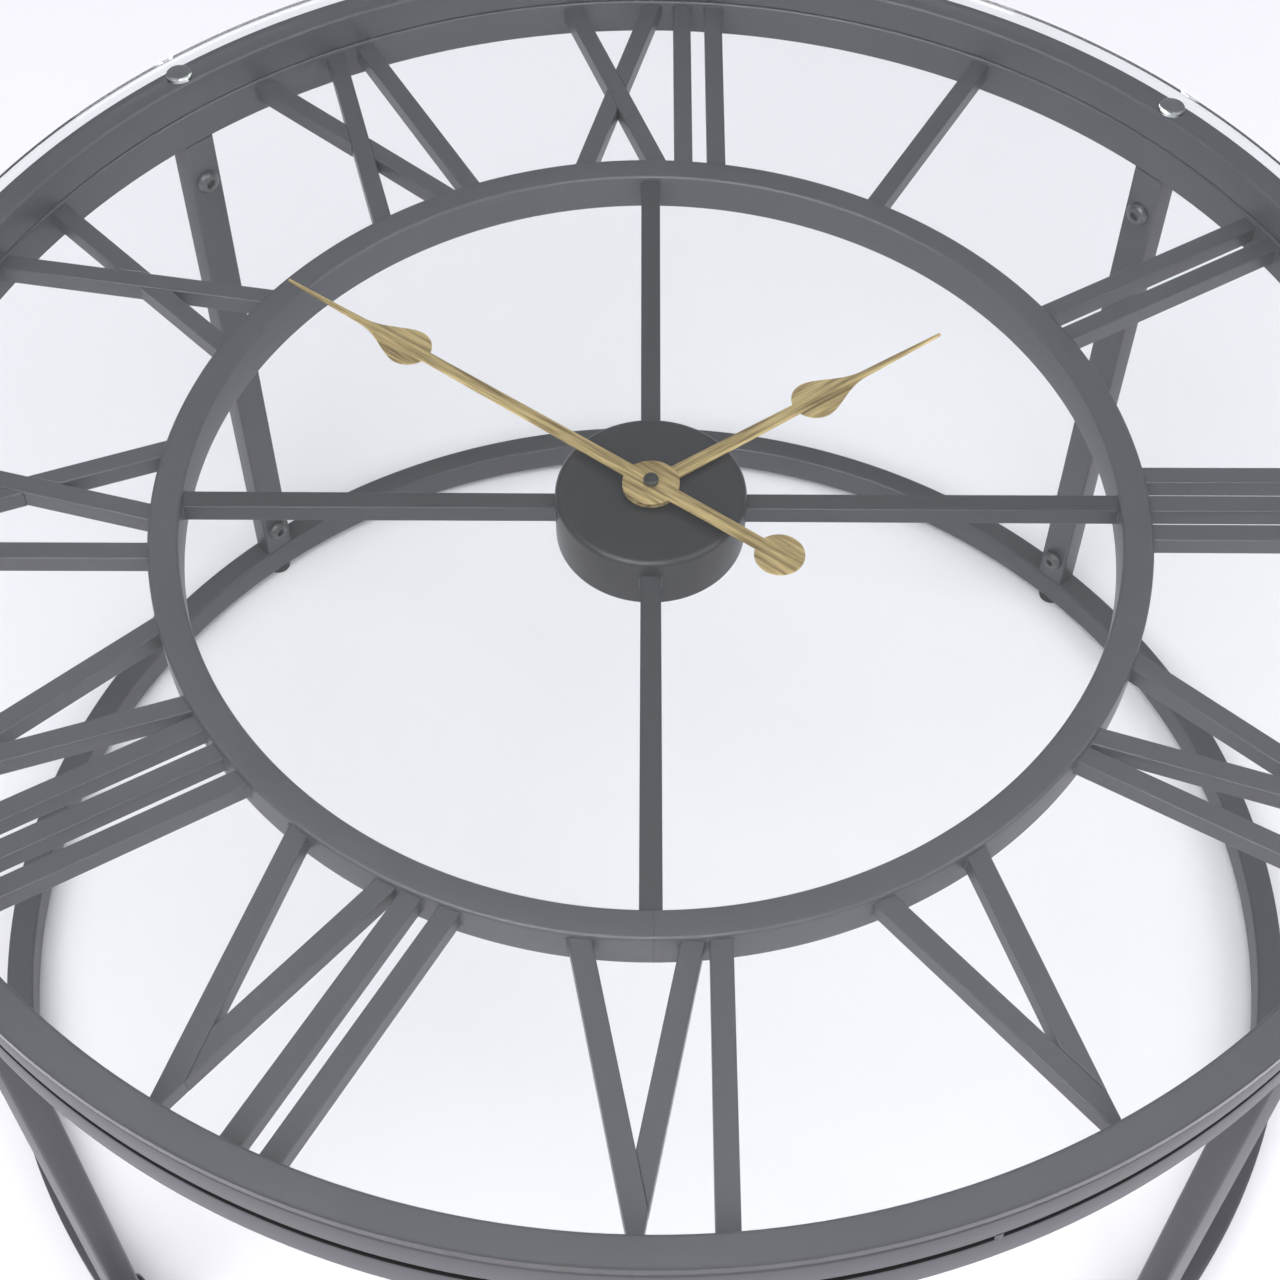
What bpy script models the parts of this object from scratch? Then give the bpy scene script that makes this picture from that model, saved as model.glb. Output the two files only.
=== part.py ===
"""Coffee table with a skeleton clock dial under a round glass top.

Four legs stand on a base ring and carry the dial: two concentric rings of rectangular tube, roman
numerals made of square bar between them, and four crossbars to a hub drum. The drum holds a quartz
movement that turns the two brass hands. A second ring is stacked on the dial's outer ring, and the
glass lies on clear bumpers on top of it. +Z is up, the origin is on the floor under the hub, and the
numeral XII lies towards +Y.
"""

import math

import bmesh
import bpy

# ---- driving dimensions, in metres and degrees ----
GAP = 0.0003  # between pieces that touch

TABLE_HEIGHT = 0.450
GLASS_RADIUS = 0.400
GLASS_THICKNESS = 0.006
GLASS_CHAMFER = 0.0008

RIM_OUTER_RADIUS = 0.3987  # of the base ring, the dial's outer ring and the top ring
RIM_TUBE_WIDTH = 0.0162
DIAL_INNER_RING_OUTER_RADIUS = 0.245
DIAL_INNER_RING_WIDTH = 0.015
DIAL_RING_HEIGHT = 0.022
TOP_RING_HEIGHT = 0.020
BASE_RING_HEIGHT = 0.020
TUBE_EDGE = 0.0015  # rounding of the tube's corners
RING_STEPS = 96

LEG_COUNT = 4
LEG_TURN = 47.5  # azimuth of the rear right leg, clockwise from XII
LEG_WIDTH = 0.020
LEG_DEPTH = 0.015
FOOT_RADIUS = 0.008
FOOT_HEIGHT = 0.006
FOOT_CHAMFER = 0.001
BUMPER_RADIUS = 0.0073
BUMPER_HEIGHT = 0.004

BOLT_RADIUS = 0.004
BOLT_LENGTH = 0.011
BOLT_HEAD_RADIUS = 0.007
BOLT_HEAD_HEIGHT = 0.0044
BOLT_SOCKET_ACROSS = 0.005
BOLT_SOCKET_DEPTH = 0.0025
BOLT_DROP = 0.029  # from the top of the leg to the bolt's axis

BAR_SIZE = 0.0102
BAR_DROP = 0.003  # from the top of the dial's rings to the top of the bars
STROKE_SPACE = 0.0082  # between the sides of neighbouring I strokes
V_HALF_FOOT = 0.0243  # from the middle of a V to the foot of each arm
V_TIP_WIDTH = 0.003
V_TO_I_SPACE = 0.0021
X_STROKES = ((-0.0174, 0.0202), (0.0238, -0.0276))  # foot and head of each arm, from the crossing
X_TO_I_SPACE = 0.0037

HUB_RADIUS = 0.047
HUB_HEIGHT = 0.030
HUB_RISE = 0.006  # above the top of the dial's rings
HUB_ROUNDING = 0.004
HUB_WALL = 0.0015
HUB_STEPS = 48

MOVEMENT_SIDE = 0.056
MOVEMENT_ROOF = 0.0008  # over the battery bay
BUSH_RADIUS = 0.004
BUSH_RISE = 0.0022  # above the hub
BUSH_BORE_RADIUS = 0.003
BUSH_BORE_DEPTH = 0.009  # below the top of the movement
BATTERY_RADIUS = 0.00725
BATTERY_LENGTH = 0.0505
BATTERY_TIP_RADIUS = 0.0027
BATTERY_TIP_LENGTH = 0.001
BATTERY_OFFSET = 0.016
BATTERY_PLAY = 0.0006
KNOB_RADIUS = 0.007
KNOB_HEIGHT = 0.006
KNOB_OFFSET = 0.012
KNOB_SHAFT_RADIUS = 0.0015
KNOB_SHAFT_LENGTH = 0.004
NUT_ACROSS = 0.012
NUT_HEIGHT = 0.0017

HAND_THICKNESS = 0.0012
HOUR_HAND_RISE = 0.0026  # from the hub to the underside of the hand
HAND_SPACING = 0.0006
BOSS_RADIUS = 0.014
HOUR_TUBE_RADIUS = 0.0027
HOUR_TUBE_BORE_RADIUS = 0.0019
HOUR_TUBE_LENGTH = 0.008
ARBOR_RADIUS = 0.0015
ARBOR_LENGTH = 0.016
CAP_RADIUS = 0.0037
CAP_HEIGHT = 0.0028
CAP_ROOF = 0.0008

DROP_RADIUS = 0.012  # widest half of a hand's teardrop
MINUTE_TIP = 0.234
MINUTE_DROP_CENTRE = 0.153
MINUTE_NEEDLE_START = 0.185
MINUTE_TAIL = 0.0755  # to the centre of the counterweight
COUNTERWEIGHT_RADIUS = 0.0122
HOUR_TIP = 0.1835
HOUR_DROP_CENTRE = 0.100
HOUR_NEEDLE_START = 0.132
STEM_ROOT_WIDTH = 0.0084
STEM_END_WIDTH = 0.0064
NEEDLE_ROOT_WIDTH = 0.0038
NEEDLE_TIP_WIDTH = 0.0014

TIME_HOUR = 1
TIME_MINUTE = 51

# ---- levels and radii worked out from them ----
GLASS_BOTTOM = TABLE_HEIGHT - GLASS_THICKNESS
BUMPER_BOTTOM = GLASS_BOTTOM - GAP - BUMPER_HEIGHT
TOP_RING_BOTTOM = BUMPER_BOTTOM - GAP - TOP_RING_HEIGHT
DIAL_TOP = TOP_RING_BOTTOM - GAP
DIAL_BOTTOM = DIAL_TOP - DIAL_RING_HEIGHT
BASE_BOTTOM = FOOT_HEIGHT
LEG_BOTTOM = BASE_BOTTOM + BASE_RING_HEIGHT + GAP
LEG_TOP = DIAL_BOTTOM - GAP
BAR_MIDDLE = DIAL_TOP - BAR_DROP - BAR_SIZE / 2

RIM_INNER_RADIUS = RIM_OUTER_RADIUS - RIM_TUBE_WIDTH
RIM_RADIUS = RIM_OUTER_RADIUS - RIM_TUBE_WIDTH / 2
DIAL_INNER_RING_RADIUS = DIAL_INNER_RING_OUTER_RADIUS - DIAL_INNER_RING_WIDTH
FLAT_OF_STEP = math.cos(math.pi / RING_STEPS)  # a faceted ring's narrowest share of its radius
STROKE_FOOT_RADIUS = DIAL_INNER_RING_OUTER_RADIUS + GAP
STROKE_HEAD_RADIUS = RIM_INNER_RADIUS * FLAT_OF_STEP - GAP

HUB_TOP = DIAL_TOP + HUB_RISE
HUB_BOTTOM = HUB_TOP - HUB_HEIGHT
BAY_WIDTH = 2 * (BATTERY_RADIUS + BATTERY_PLAY)
MOVEMENT_HEIGHT = BAY_WIDTH + MOVEMENT_ROOF
MOVEMENT_TOP = HUB_TOP - HUB_WALL - GAP
MOVEMENT_BOTTOM = MOVEMENT_TOP - MOVEMENT_HEIGHT
BUSH_TOP = HUB_TOP + BUSH_RISE
HOUR_HAND_BOTTOM = HUB_TOP + HOUR_HAND_RISE
MINUTE_HAND_BOTTOM = HOUR_HAND_BOTTOM + HAND_THICKNESS + HAND_SPACING
CAP_BOTTOM = MINUTE_HAND_BOTTOM + HAND_THICKNESS + GAP
CAP_TOP = CAP_BOTTOM + CAP_HEIGHT
ARBOR_TOP = CAP_TOP - CAP_ROOF - GAP

MINUTE_ANGLE = 360 * TIME_MINUTE / 60
HOUR_ANGLE = 30 * (TIME_HOUR % 12 + TIME_MINUTE / 60)

NUMERALS = ("XII", "I", "II", "III", "IV", "V", "VI", "VII", "VIII", "IX", "X", "XI")
READ_FROM_BELOW = ("IV", "V", "VI", "VII", "VIII")  # these stand with their heads towards the hub
CORNERS = {1: "rear_right", 2: "front_right", 3: "front_left", 4: "rear_left"}


# ---- scene, materials and modelling helpers ----
for old in list(bpy.data.objects):
    bpy.data.objects.remove(old)


def new_collection(name):
    collection = bpy.data.collections.new(name)
    bpy.context.scene.collection.children.link(collection)
    return collection


PARTS = new_collection("clock_table")
CUTTERS = new_collection("cutters")


def new_material(name, colour, roughness, metallic=0.0, transmission=0.0):
    material = bpy.data.materials.new(name)
    material.use_nodes = True
    shader = material.node_tree.nodes["Principled BSDF"]
    shader.inputs["Base Color"].default_value = (*colour, 1.0)
    shader.inputs["Roughness"].default_value = roughness
    shader.inputs["Metallic"].default_value = metallic
    shader.inputs["Transmission Weight"].default_value = transmission
    material.diffuse_color = (*colour, 1.0)
    return material


GREY_PAINT = new_material("grey_paint", (0.105, 0.108, 0.115), 0.45)
BRASS = new_material("antique_brass", (0.60, 0.46, 0.20), 0.38, metallic=0.9)
GLASS = new_material("clear_glass", (0.93, 0.97, 0.96), 0.03, transmission=1.0)
CLEAR_VINYL = new_material("clear_vinyl", (0.85, 0.88, 0.88), 0.15, transmission=0.8)
BLACK_PLASTIC = new_material("black_plastic", (0.02, 0.02, 0.022), 0.5)
STEEL = new_material("steel", (0.35, 0.35, 0.36), 0.35, metallic=1.0)
BATTERY_JACKET = new_material("battery_jacket", (0.05, 0.07, 0.12), 0.3)


def add_object(name, mesh, material):
    """A part if it has a material, or else a cutter."""
    obj = bpy.data.objects.new(name, mesh)
    if material is None:
        CUTTERS.objects.link(obj)
        obj.hide_render = True
        obj.display_type = "WIRE"
    else:
        PARTS.objects.link(obj)
        mesh.materials.append(material)
    return obj


def shade_round(obj):
    obj.data.shade_smooth()
    obj.data.set_sharp_from_angle(angle=math.radians(35))


def box(name, size, material, bevel=0.0):
    mesh = bpy.data.meshes.new(name)
    shape = bmesh.new()
    bmesh.ops.create_cube(shape, size=1.0)
    bmesh.ops.scale(shape, vec=size, verts=shape.verts)
    shape.to_mesh(mesh)
    shape.free()
    obj = add_object(name, mesh, material)
    if bevel:
        edges = obj.modifiers.new("rounded_edges", "BEVEL")
        edges.width = bevel
        edges.segments = 2
    return obj


def cylinder(name, radius, length, material, sides=32):
    """A cylinder along Z, centred on its origin, with its corners on the radius."""
    mesh = bpy.data.meshes.new(name)
    shape = bmesh.new()
    bmesh.ops.create_cone(
        shape, cap_ends=True, segments=sides, radius1=radius, radius2=radius, depth=length
    )
    shape.to_mesh(mesh)
    shape.free()
    obj = add_object(name, mesh, material)
    shade_round(obj)
    return obj


def turned(name, profile, material, steps=32, closed=False):
    """A profile of (radius, height) points, turned about Z. Its outer side runs from top to bottom."""
    mesh = bpy.data.meshes.new(name)
    edges = [(i, i + 1) for i in range(len(profile) - 1)]
    if closed:
        edges.append((len(profile) - 1, 0))
    mesh.from_pydata([(radius, 0.0, height) for radius, height in profile], edges, [])
    obj = add_object(name, mesh, material)
    screw = obj.modifiers.new("turn", "SCREW")
    screw.steps = steps
    screw.render_steps = steps
    screw.use_merge_vertices = True
    screw.merge_threshold = 0.00001
    screw.use_smooth_shade = True
    return obj


def extruded(name, outlines, thickness, material):
    """A flat plate with its underside at Z = 0. Outlines after the first are its holes."""
    curve = bpy.data.curves.new(name, "CURVE")
    curve.dimensions = "2D"
    curve.fill_mode = "BOTH"
    curve.extrude = thickness / 2
    for outline in outlines:
        spline = curve.splines.new("POLY")
        spline.points.add(len(outline) - 1)
        for point, (x, y) in zip(spline.points, outline):
            point.co = (x, y, 0.0, 1.0)
        spline.use_cyclic_u = True
    guide = bpy.data.objects.new(name + "_outline", curve)
    CUTTERS.objects.link(guide)
    graph = bpy.context.evaluated_depsgraph_get()
    mesh = bpy.data.meshes.new_from_object(guide.evaluated_get(graph))
    bpy.data.objects.remove(guide)
    shape = bmesh.new()
    shape.from_mesh(mesh)
    bmesh.ops.remove_doubles(shape, verts=shape.verts, dist=0.000001)
    bmesh.ops.translate(shape, vec=(0.0, 0.0, thickness / 2), verts=shape.verts)
    bmesh.ops.recalc_face_normals(shape, faces=shape.faces)
    shape.to_mesh(mesh)
    shape.free()
    mesh.materials.clear()
    return add_object(name, mesh, material)


def combine(obj, other, operation):
    modifier = obj.modifiers.new(other.name, "BOOLEAN")
    modifier.operation = operation
    modifier.solver = "EXACT"
    modifier.object = other


def place(obj, x=0.0, y=0.0, z=0.0, azimuth=0.0):
    """Azimuth is clockwise from +Y, seen from above, as a clock's hand turns."""
    obj.location = (x, y, z)
    obj.rotation_euler = (0.0, 0.0, -math.radians(azimuth))
    return obj


def place_polar(obj, radius, azimuth, z):
    angle = math.radians(azimuth)
    return place(obj, radius * math.sin(angle), radius * math.cos(angle), z, azimuth)


def arc(centre, radius, start, end, count):
    """Points of a circle in a plane, from the start angle to the end angle in degrees."""
    points = []
    for i in range(count + 1):
        angle = math.radians(start + (end - start) * i / count)
        points.append((centre[0] + radius * math.cos(angle), centre[1] + radius * math.sin(angle)))
    return points


def hexagon(across_flats):
    return arc((0.0, 0.0), across_flats / math.sqrt(3), 0, 300, 5)


# ---- rings, legs, feet, bumpers and glass ----
def tube_ring(name, outer_radius, inner_radius, height, bottom):
    outer, inner = outer_radius - TUBE_EDGE, inner_radius + TUBE_EDGE
    high, low = height - TUBE_EDGE, TUBE_EDGE
    profile = [(outer, height), (outer_radius, high), (outer_radius, low), (outer, 0.0)]
    profile += [(inner, 0.0), (inner_radius, low), (inner_radius, high), (inner, height)]
    return place(turned(name, profile, GREY_PAINT, RING_STEPS, closed=True), z=bottom)


def leg_azimuth(number):
    return LEG_TURN + (number - 1) * 360 / LEG_COUNT


def build_leg(number):
    height = LEG_TOP - LEG_BOTTOM
    azimuth = leg_azimuth(number)
    leg = box("leg_" + CORNERS[number], (LEG_WIDTH, LEG_DEPTH, height), GREY_PAINT, TUBE_EDGE)
    place_polar(leg, RIM_RADIUS, azimuth, (LEG_TOP + LEG_BOTTOM) / 2)
    hole = cylinder("bolt_hole_" + str(number), BOLT_RADIUS + GAP, 2 * (BOLT_LENGTH + GAP), None, 24)
    place_polar(hole, RIM_RADIUS - LEG_DEPTH / 2, azimuth, LEG_TOP - BOLT_DROP)
    hole.rotation_euler.x = math.pi / 2
    combine(leg, hole, "DIFFERENCE")


def build_leg_bolt(number):
    """A button-head bolt that enters the leg from its inner face. Its own +Z points at the hub."""
    head = arc((0.0, 0.0), 1.0, 75, 15, 4)
    profile = [(0.0, BOLT_HEAD_HEIGHT), (BOLT_HEAD_RADIUS * 0.45, BOLT_HEAD_HEIGHT)]
    profile += [(BOLT_HEAD_RADIUS * r, BOLT_HEAD_HEIGHT * h) for r, h in head if r > 0.5]
    profile += [(BOLT_HEAD_RADIUS, 0.0), (BOLT_RADIUS, 0.0), (BOLT_RADIUS, -BOLT_LENGTH)]
    profile.append((0.0, -BOLT_LENGTH))
    bolt = turned("leg_bolt_" + CORNERS[number], profile, GREY_PAINT, 20)
    socket = extruded(
        "bolt_socket_" + str(number), [hexagon(BOLT_SOCKET_ACROSS)], 2 * BOLT_SOCKET_DEPTH, None
    )
    socket.location.z = BOLT_HEAD_HEIGHT - BOLT_SOCKET_DEPTH
    socket.parent = bolt
    combine(bolt, socket, "DIFFERENCE")
    place_polar(bolt, RIM_RADIUS - LEG_DEPTH / 2 - GAP, leg_azimuth(number), LEG_TOP - BOLT_DROP)
    bolt.rotation_euler.x = math.pi / 2


def build_foot(number):
    height = FOOT_HEIGHT - GAP
    profile = [(0.0, height), (FOOT_RADIUS, height), (FOOT_RADIUS, FOOT_CHAMFER)]
    profile += [(FOOT_RADIUS - FOOT_CHAMFER, 0.0), (0.0, 0.0)]
    foot = turned("foot_pad_" + CORNERS[number], profile, BLACK_PLASTIC, 24)
    place_polar(foot, RIM_RADIUS, leg_azimuth(number), 0.0)


def build_bumper(number):
    """A low dome with a flat top and an upright rim, each half of its height."""
    rim = BUMPER_HEIGHT / 2
    profile = [(0.0, BUMPER_HEIGHT)]
    for x, y in arc((0.0, 0.0), 1.0, 60, 0, 4):
        profile.append((BUMPER_RADIUS * x, rim + (BUMPER_HEIGHT - rim) * y / math.sin(math.radians(60))))
    profile += [(BUMPER_RADIUS, 0.0), (0.0, 0.0)]
    bumper = turned("glass_bumper_" + CORNERS[number], profile, CLEAR_VINYL, 24)
    place_polar(bumper, RIM_RADIUS, leg_azimuth(number), BUMPER_BOTTOM)


def build_glass():
    rim = GLASS_RADIUS - GLASS_CHAMFER
    profile = [(0.0, GLASS_THICKNESS), (rim, GLASS_THICKNESS)]
    profile += [(GLASS_RADIUS, GLASS_THICKNESS - GLASS_CHAMFER), (GLASS_RADIUS, GLASS_CHAMFER)]
    profile += [(rim, 0.0), (0.0, 0.0)]
    place(turned("glass_top", profile, GLASS, RING_STEPS), z=GLASS_BOTTOM)


# ---- numerals ----
def on_circle(foot, head, side, radius):
    """Where a stroke's edge crosses a circle. The stroke's middle runs from foot to head, both
    given as (across, outwards), and side is how far its edge lies to the right of the middle."""
    along_x, along_y = head[0] - foot[0], head[1] - foot[1]
    length = math.hypot(along_x, along_y)
    along_x, along_y = along_x / length, along_y / length
    x, y = foot[0] + side * along_y, foot[1] - side * along_x
    towards = x * along_x + y * along_y
    reach = -towards + math.sqrt(towards**2 - x**2 - y**2 + radius**2)
    return (x + reach * along_x, y + reach * along_y)


def stroke_outline(foot_across, head_across):
    """A straight bar between the two rings, its ends cut to follow them."""
    foot = (foot_across, STROKE_FOOT_RADIUS)
    head = (head_across, STROKE_HEAD_RADIUS)
    half = BAR_SIZE / 2
    corners = ((half, STROKE_FOOT_RADIUS), (half, STROKE_HEAD_RADIUS))
    corners += ((-half, STROKE_HEAD_RADIUS), (-half, STROKE_FOOT_RADIUS))
    return [on_circle(foot, head, side, radius) for side, radius in corners]


def v_outline(middle):
    """Two arms whose outer edges run from their feet to a narrow tip at the outer ring."""
    foot_edge = V_HALF_FOOT + BAR_SIZE / 2
    tip_edge = V_TIP_WIDTH / 2
    rise = STROKE_HEAD_RADIUS - STROKE_FOOT_RADIUS
    lean = (foot_edge - tip_edge) / rise
    width_across = BAR_SIZE * math.hypot(1.0, lean)
    crotch = STROKE_FOOT_RADIUS + (foot_edge - width_across) / lean
    outline = []
    for mirror in (1, -1):
        outer_foot = (middle + mirror * foot_edge, STROKE_FOOT_RADIUS)
        outer_tip = (middle + mirror * tip_edge, STROKE_HEAD_RADIUS)
        inner_foot = (middle + mirror * (foot_edge - width_across), STROKE_FOOT_RADIUS)
        outer = [on_circle(outer_foot, outer_tip, 0.0, r) for r in (STROKE_FOOT_RADIUS, STROKE_HEAD_RADIUS)]
        inner = on_circle(inner_foot, (middle, crotch), 0.0, STROKE_FOOT_RADIUS)
        arm = [inner] + outer
        outline += arm if mirror == 1 else arm[::-1]
    outline.append((middle, crotch))
    return outline


def glyph_sides(glyph, with_heads):
    """How far a glyph reaches to the left and right of its middle, at its feet or at its widest."""
    if glyph == "I":
        return (0.0, 0.0)
    if glyph == "V":
        return (-V_HALF_FOOT, V_HALF_FOOT)
    ends = [foot for foot, head in X_STROKES]
    if with_heads:
        ends += [head for foot, head in X_STROKES]
    return (min(ends), max(ends))


def glyph_places(numeral):
    """The middle of each glyph, from left to right as seen from the hub, centred by their feet."""
    glyphs = numeral[::-1] if numeral in READ_FROM_BELOW else numeral
    spacing = {"I": STROKE_SPACE, "V": V_TO_I_SPACE, "X": X_TO_I_SPACE}
    middles = [0.0]
    for before, glyph in zip(glyphs, glyphs[1:]):
        # I sorts before V and X, whose spacing to an I is their own.
        pitch = BAR_SIZE + spacing[max(before, glyph)]
        reach = glyph_sides(before, True)[1] - glyph_sides(glyph, True)[0]
        middles.append(middles[-1] + reach + pitch)
    left = glyph_sides(glyphs[0], False)[0]
    right = middles[-1] + glyph_sides(glyphs[-1], False)[1]
    return [(glyph, middle - (left + right) / 2) for glyph, middle in zip(glyphs, middles)]


def build_numeral(hour, numeral):
    azimuth = 30 * hour
    bottom = BAR_MIDDLE - BAR_SIZE / 2
    stroke_number = 0
    for glyph, middle in glyph_places(numeral):
        if glyph == "I":
            stroke_number += 1
            name = f"numeral_{numeral}_stroke_{stroke_number}"
            outlines = [stroke_outline(middle, middle)]
        elif glyph == "V":
            name = f"numeral_{numeral}_V"
            outlines = [v_outline(middle)]
        else:
            name = f"numeral_{numeral}_X"
            outlines = [stroke_outline(middle + foot, middle + head) for foot, head in X_STROKES]
        bar = place(extruded(name, outlines[:1], BAR_SIZE, GREY_PAINT), z=bottom, azimuth=azimuth)
        for crossing in outlines[1:]:
            other = extruded(name + "_crossing", [crossing], BAR_SIZE, None)
            place(other, z=bottom, azimuth=azimuth)
            combine(bar, other, "UNION")


# ---- crossbars and hub ----
def build_crossbar(number, side):
    start = HUB_RADIUS + GAP
    end = DIAL_INNER_RING_RADIUS * FLAT_OF_STEP - GAP
    reach = math.sqrt(end**2 - (BAR_SIZE / 2) ** 2)
    bar = box("crossbar_" + side, (BAR_SIZE, reach - start, BAR_SIZE), GREY_PAINT)
    place_polar(bar, (reach + start) / 2, 90 * number, BAR_MIDDLE)


def build_hub_drum():
    rounding = arc((HUB_RADIUS - HUB_ROUNDING, HUB_HEIGHT - HUB_ROUNDING), HUB_ROUNDING, 90, 0, 5)
    inner_radius = HUB_RADIUS - HUB_WALL
    inner_rounding = HUB_ROUNDING - HUB_WALL
    inside = arc((inner_radius - inner_rounding, HUB_HEIGHT - HUB_ROUNDING), inner_rounding, 0, 90, 3)
    hole = BUSH_RADIUS + GAP
    profile = [(hole, HUB_HEIGHT)] + rounding + [(HUB_RADIUS, 0.0), (inner_radius, 0.0)]
    profile += inside + [(hole, HUB_HEIGHT - HUB_WALL)]
    place(turned("hub_drum", profile, GREY_PAINT, HUB_STEPS, closed=True), z=HUB_BOTTOM)


def build_movement():
    """The movement's case, with its threaded bush, its battery bay and the hole for the knob."""
    case = box("movement_case", (MOVEMENT_SIDE, MOVEMENT_SIDE, MOVEMENT_HEIGHT), BLACK_PLASTIC)
    case.location.z = MOVEMENT_BOTTOM + MOVEMENT_HEIGHT / 2
    bush_length = BUSH_TOP - MOVEMENT_TOP + BUSH_BORE_DEPTH
    bush = cylinder("bush", BUSH_RADIUS, bush_length, None)
    bush.location.z = BUSH_TOP - bush_length / 2
    combine(case, bush, "UNION")
    bore_length = bush_length + GAP
    bore = cylinder("bush_bore", BUSH_BORE_RADIUS, bore_length, None)
    bore.location.z = BUSH_TOP + GAP - bore_length / 2
    combine(case, bore, "DIFFERENCE")
    bay_length = BATTERY_LENGTH + 2 * BATTERY_PLAY
    bay = box("battery_bay", (bay_length, BAY_WIDTH, 2 * BAY_WIDTH), None)
    bay.location = (0.0, BATTERY_OFFSET, MOVEMENT_BOTTOM)
    combine(case, bay, "DIFFERENCE")
    shaft_hole = cylinder(
        "knob_hole", KNOB_SHAFT_RADIUS + GAP, 2 * (KNOB_SHAFT_LENGTH + GAP), None, 16
    )
    shaft_hole.location = (0.0, -KNOB_OFFSET, MOVEMENT_BOTTOM)
    combine(case, shaft_hole, "DIFFERENCE")


def build_battery():
    body = BATTERY_LENGTH - BATTERY_TIP_LENGTH
    profile = [(0.0, BATTERY_LENGTH), (BATTERY_TIP_RADIUS, BATTERY_LENGTH)]
    profile += [(BATTERY_TIP_RADIUS, body), (BATTERY_RADIUS, body), (BATTERY_RADIUS, 0.0), (0.0, 0.0)]
    battery = turned("battery", profile, BATTERY_JACKET, 32)
    battery.rotation_euler.y = math.pi / 2
    battery.location.x = -BATTERY_LENGTH / 2
    battery.location.y = BATTERY_OFFSET
    battery.location.z = MOVEMENT_BOTTOM + BATTERY_RADIUS


def build_setting_knob():
    """Its origin is on its axis, at the underside of the movement."""
    grip_top = -GAP
    profile = [(0.0, KNOB_SHAFT_LENGTH), (KNOB_SHAFT_RADIUS, KNOB_SHAFT_LENGTH)]
    profile += [(KNOB_SHAFT_RADIUS, grip_top), (KNOB_RADIUS, grip_top)]
    profile += [(KNOB_RADIUS, grip_top - KNOB_HEIGHT), (0.0, grip_top - KNOB_HEIGHT)]
    knob = turned("setting_knob", profile, BLACK_PLASTIC, 24)
    place(knob, y=-KNOB_OFFSET, z=MOVEMENT_BOTTOM)


def build_fixing_nut():
    bore = arc((0.0, 0.0), BUSH_RADIUS + GAP, 0, 345, 23)
    nut = extruded("fixing_nut", [hexagon(NUT_ACROSS), bore], NUT_HEIGHT, BRASS)
    place(nut, z=HUB_TOP + GAP)


# ---- hands ----
def hand_half_width(reach, tip, drop_centre, needle_start, tail):
    """Half the hand's width at a distance from its axis. Tail is None, or where its disc lies."""
    if reach > needle_start:
        share = (reach - needle_start) / (tip - needle_start)
        return (NEEDLE_ROOT_WIDTH + (NEEDLE_TIP_WIDTH - NEEDLE_ROOT_WIDTH) * share) / 2
    if reach > drop_centre:
        share = (reach - drop_centre) / (needle_start - drop_centre)
        falloff = (1 + math.cos(math.pi * share**0.85)) / 2
        return NEEDLE_ROOT_WIDTH / 2 + (DROP_RADIUS - NEEDLE_ROOT_WIDTH / 2) * falloff
    stem_share = abs(reach) / drop_centre
    widths = [(STEM_ROOT_WIDTH + (STEM_END_WIDTH - STEM_ROOT_WIDTH) * stem_share) / 2]
    discs = [(0.0, BOSS_RADIUS), (drop_centre, DROP_RADIUS)]
    if tail is not None:
        discs.append((-tail, COUNTERWEIGHT_RADIUS))
        if reach < -tail:
            widths = [0.0]
    elif reach < 0.0:
        widths = [0.0]
    for centre, radius in discs:
        if abs(reach - centre) < radius:
            widths.append(math.sqrt(radius**2 - (reach - centre) ** 2))
    return max(widths)


def hand_outline(tip, drop_centre, needle_start, tail=None):
    """One closed outline round the hand, which points along +Y."""
    reaches = {tip, needle_start}
    discs = [(0.0, BOSS_RADIUS), (drop_centre, DROP_RADIUS)]
    if tail is not None:
        discs.append((-tail, COUNTERWEIGHT_RADIUS))
    for centre, radius in discs:
        reaches |= {round(centre - radius * math.cos(math.radians(a)), 7) for a in range(0, 181, 12)}
    fall = needle_start - drop_centre
    reaches |= {round(drop_centre + fall * i / 12, 7) for i in range(13)}
    shape = (tip, drop_centre, needle_start, tail)
    edge = [(hand_half_width(reach, *shape), reach) for reach in sorted(reaches)]
    edge = [point for point in edge[1:] if point[0] > 0.0]
    end = sorted(reaches)[0]
    return [(0.0, end)] + edge + [(-x, y) for x, y in reversed(edge)]


def build_hour_hand():
    bore = arc((0.0, 0.0), HOUR_TUBE_BORE_RADIUS, 0, 337.5, 15)
    outline = hand_outline(HOUR_TIP, HOUR_DROP_CENTRE, HOUR_NEEDLE_START)
    hand = extruded("hour_hand", [outline, bore], HAND_THICKNESS, BRASS)
    place(hand, z=HOUR_HAND_BOTTOM, azimuth=HOUR_ANGLE)
    overlap = HAND_THICKNESS / 2
    tube = extruded(
        "hour_tube",
        [arc((0.0, 0.0), HOUR_TUBE_RADIUS, 0, 345, 23), bore],
        HOUR_TUBE_LENGTH + overlap,
        None,
    )
    place(tube, z=HOUR_HAND_BOTTOM - HOUR_TUBE_LENGTH, azimuth=HOUR_ANGLE)
    combine(hand, tube, "UNION")


def build_minute_hand():
    bore = arc((0.0, 0.0), ARBOR_RADIUS + GAP, 0, 337.5, 15)
    outline = hand_outline(MINUTE_TIP, MINUTE_DROP_CENTRE, MINUTE_NEEDLE_START, MINUTE_TAIL)
    hand = extruded("minute_hand", [outline, bore], HAND_THICKNESS, BRASS)
    place(hand, z=MINUTE_HAND_BOTTOM, azimuth=MINUTE_ANGLE)


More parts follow.
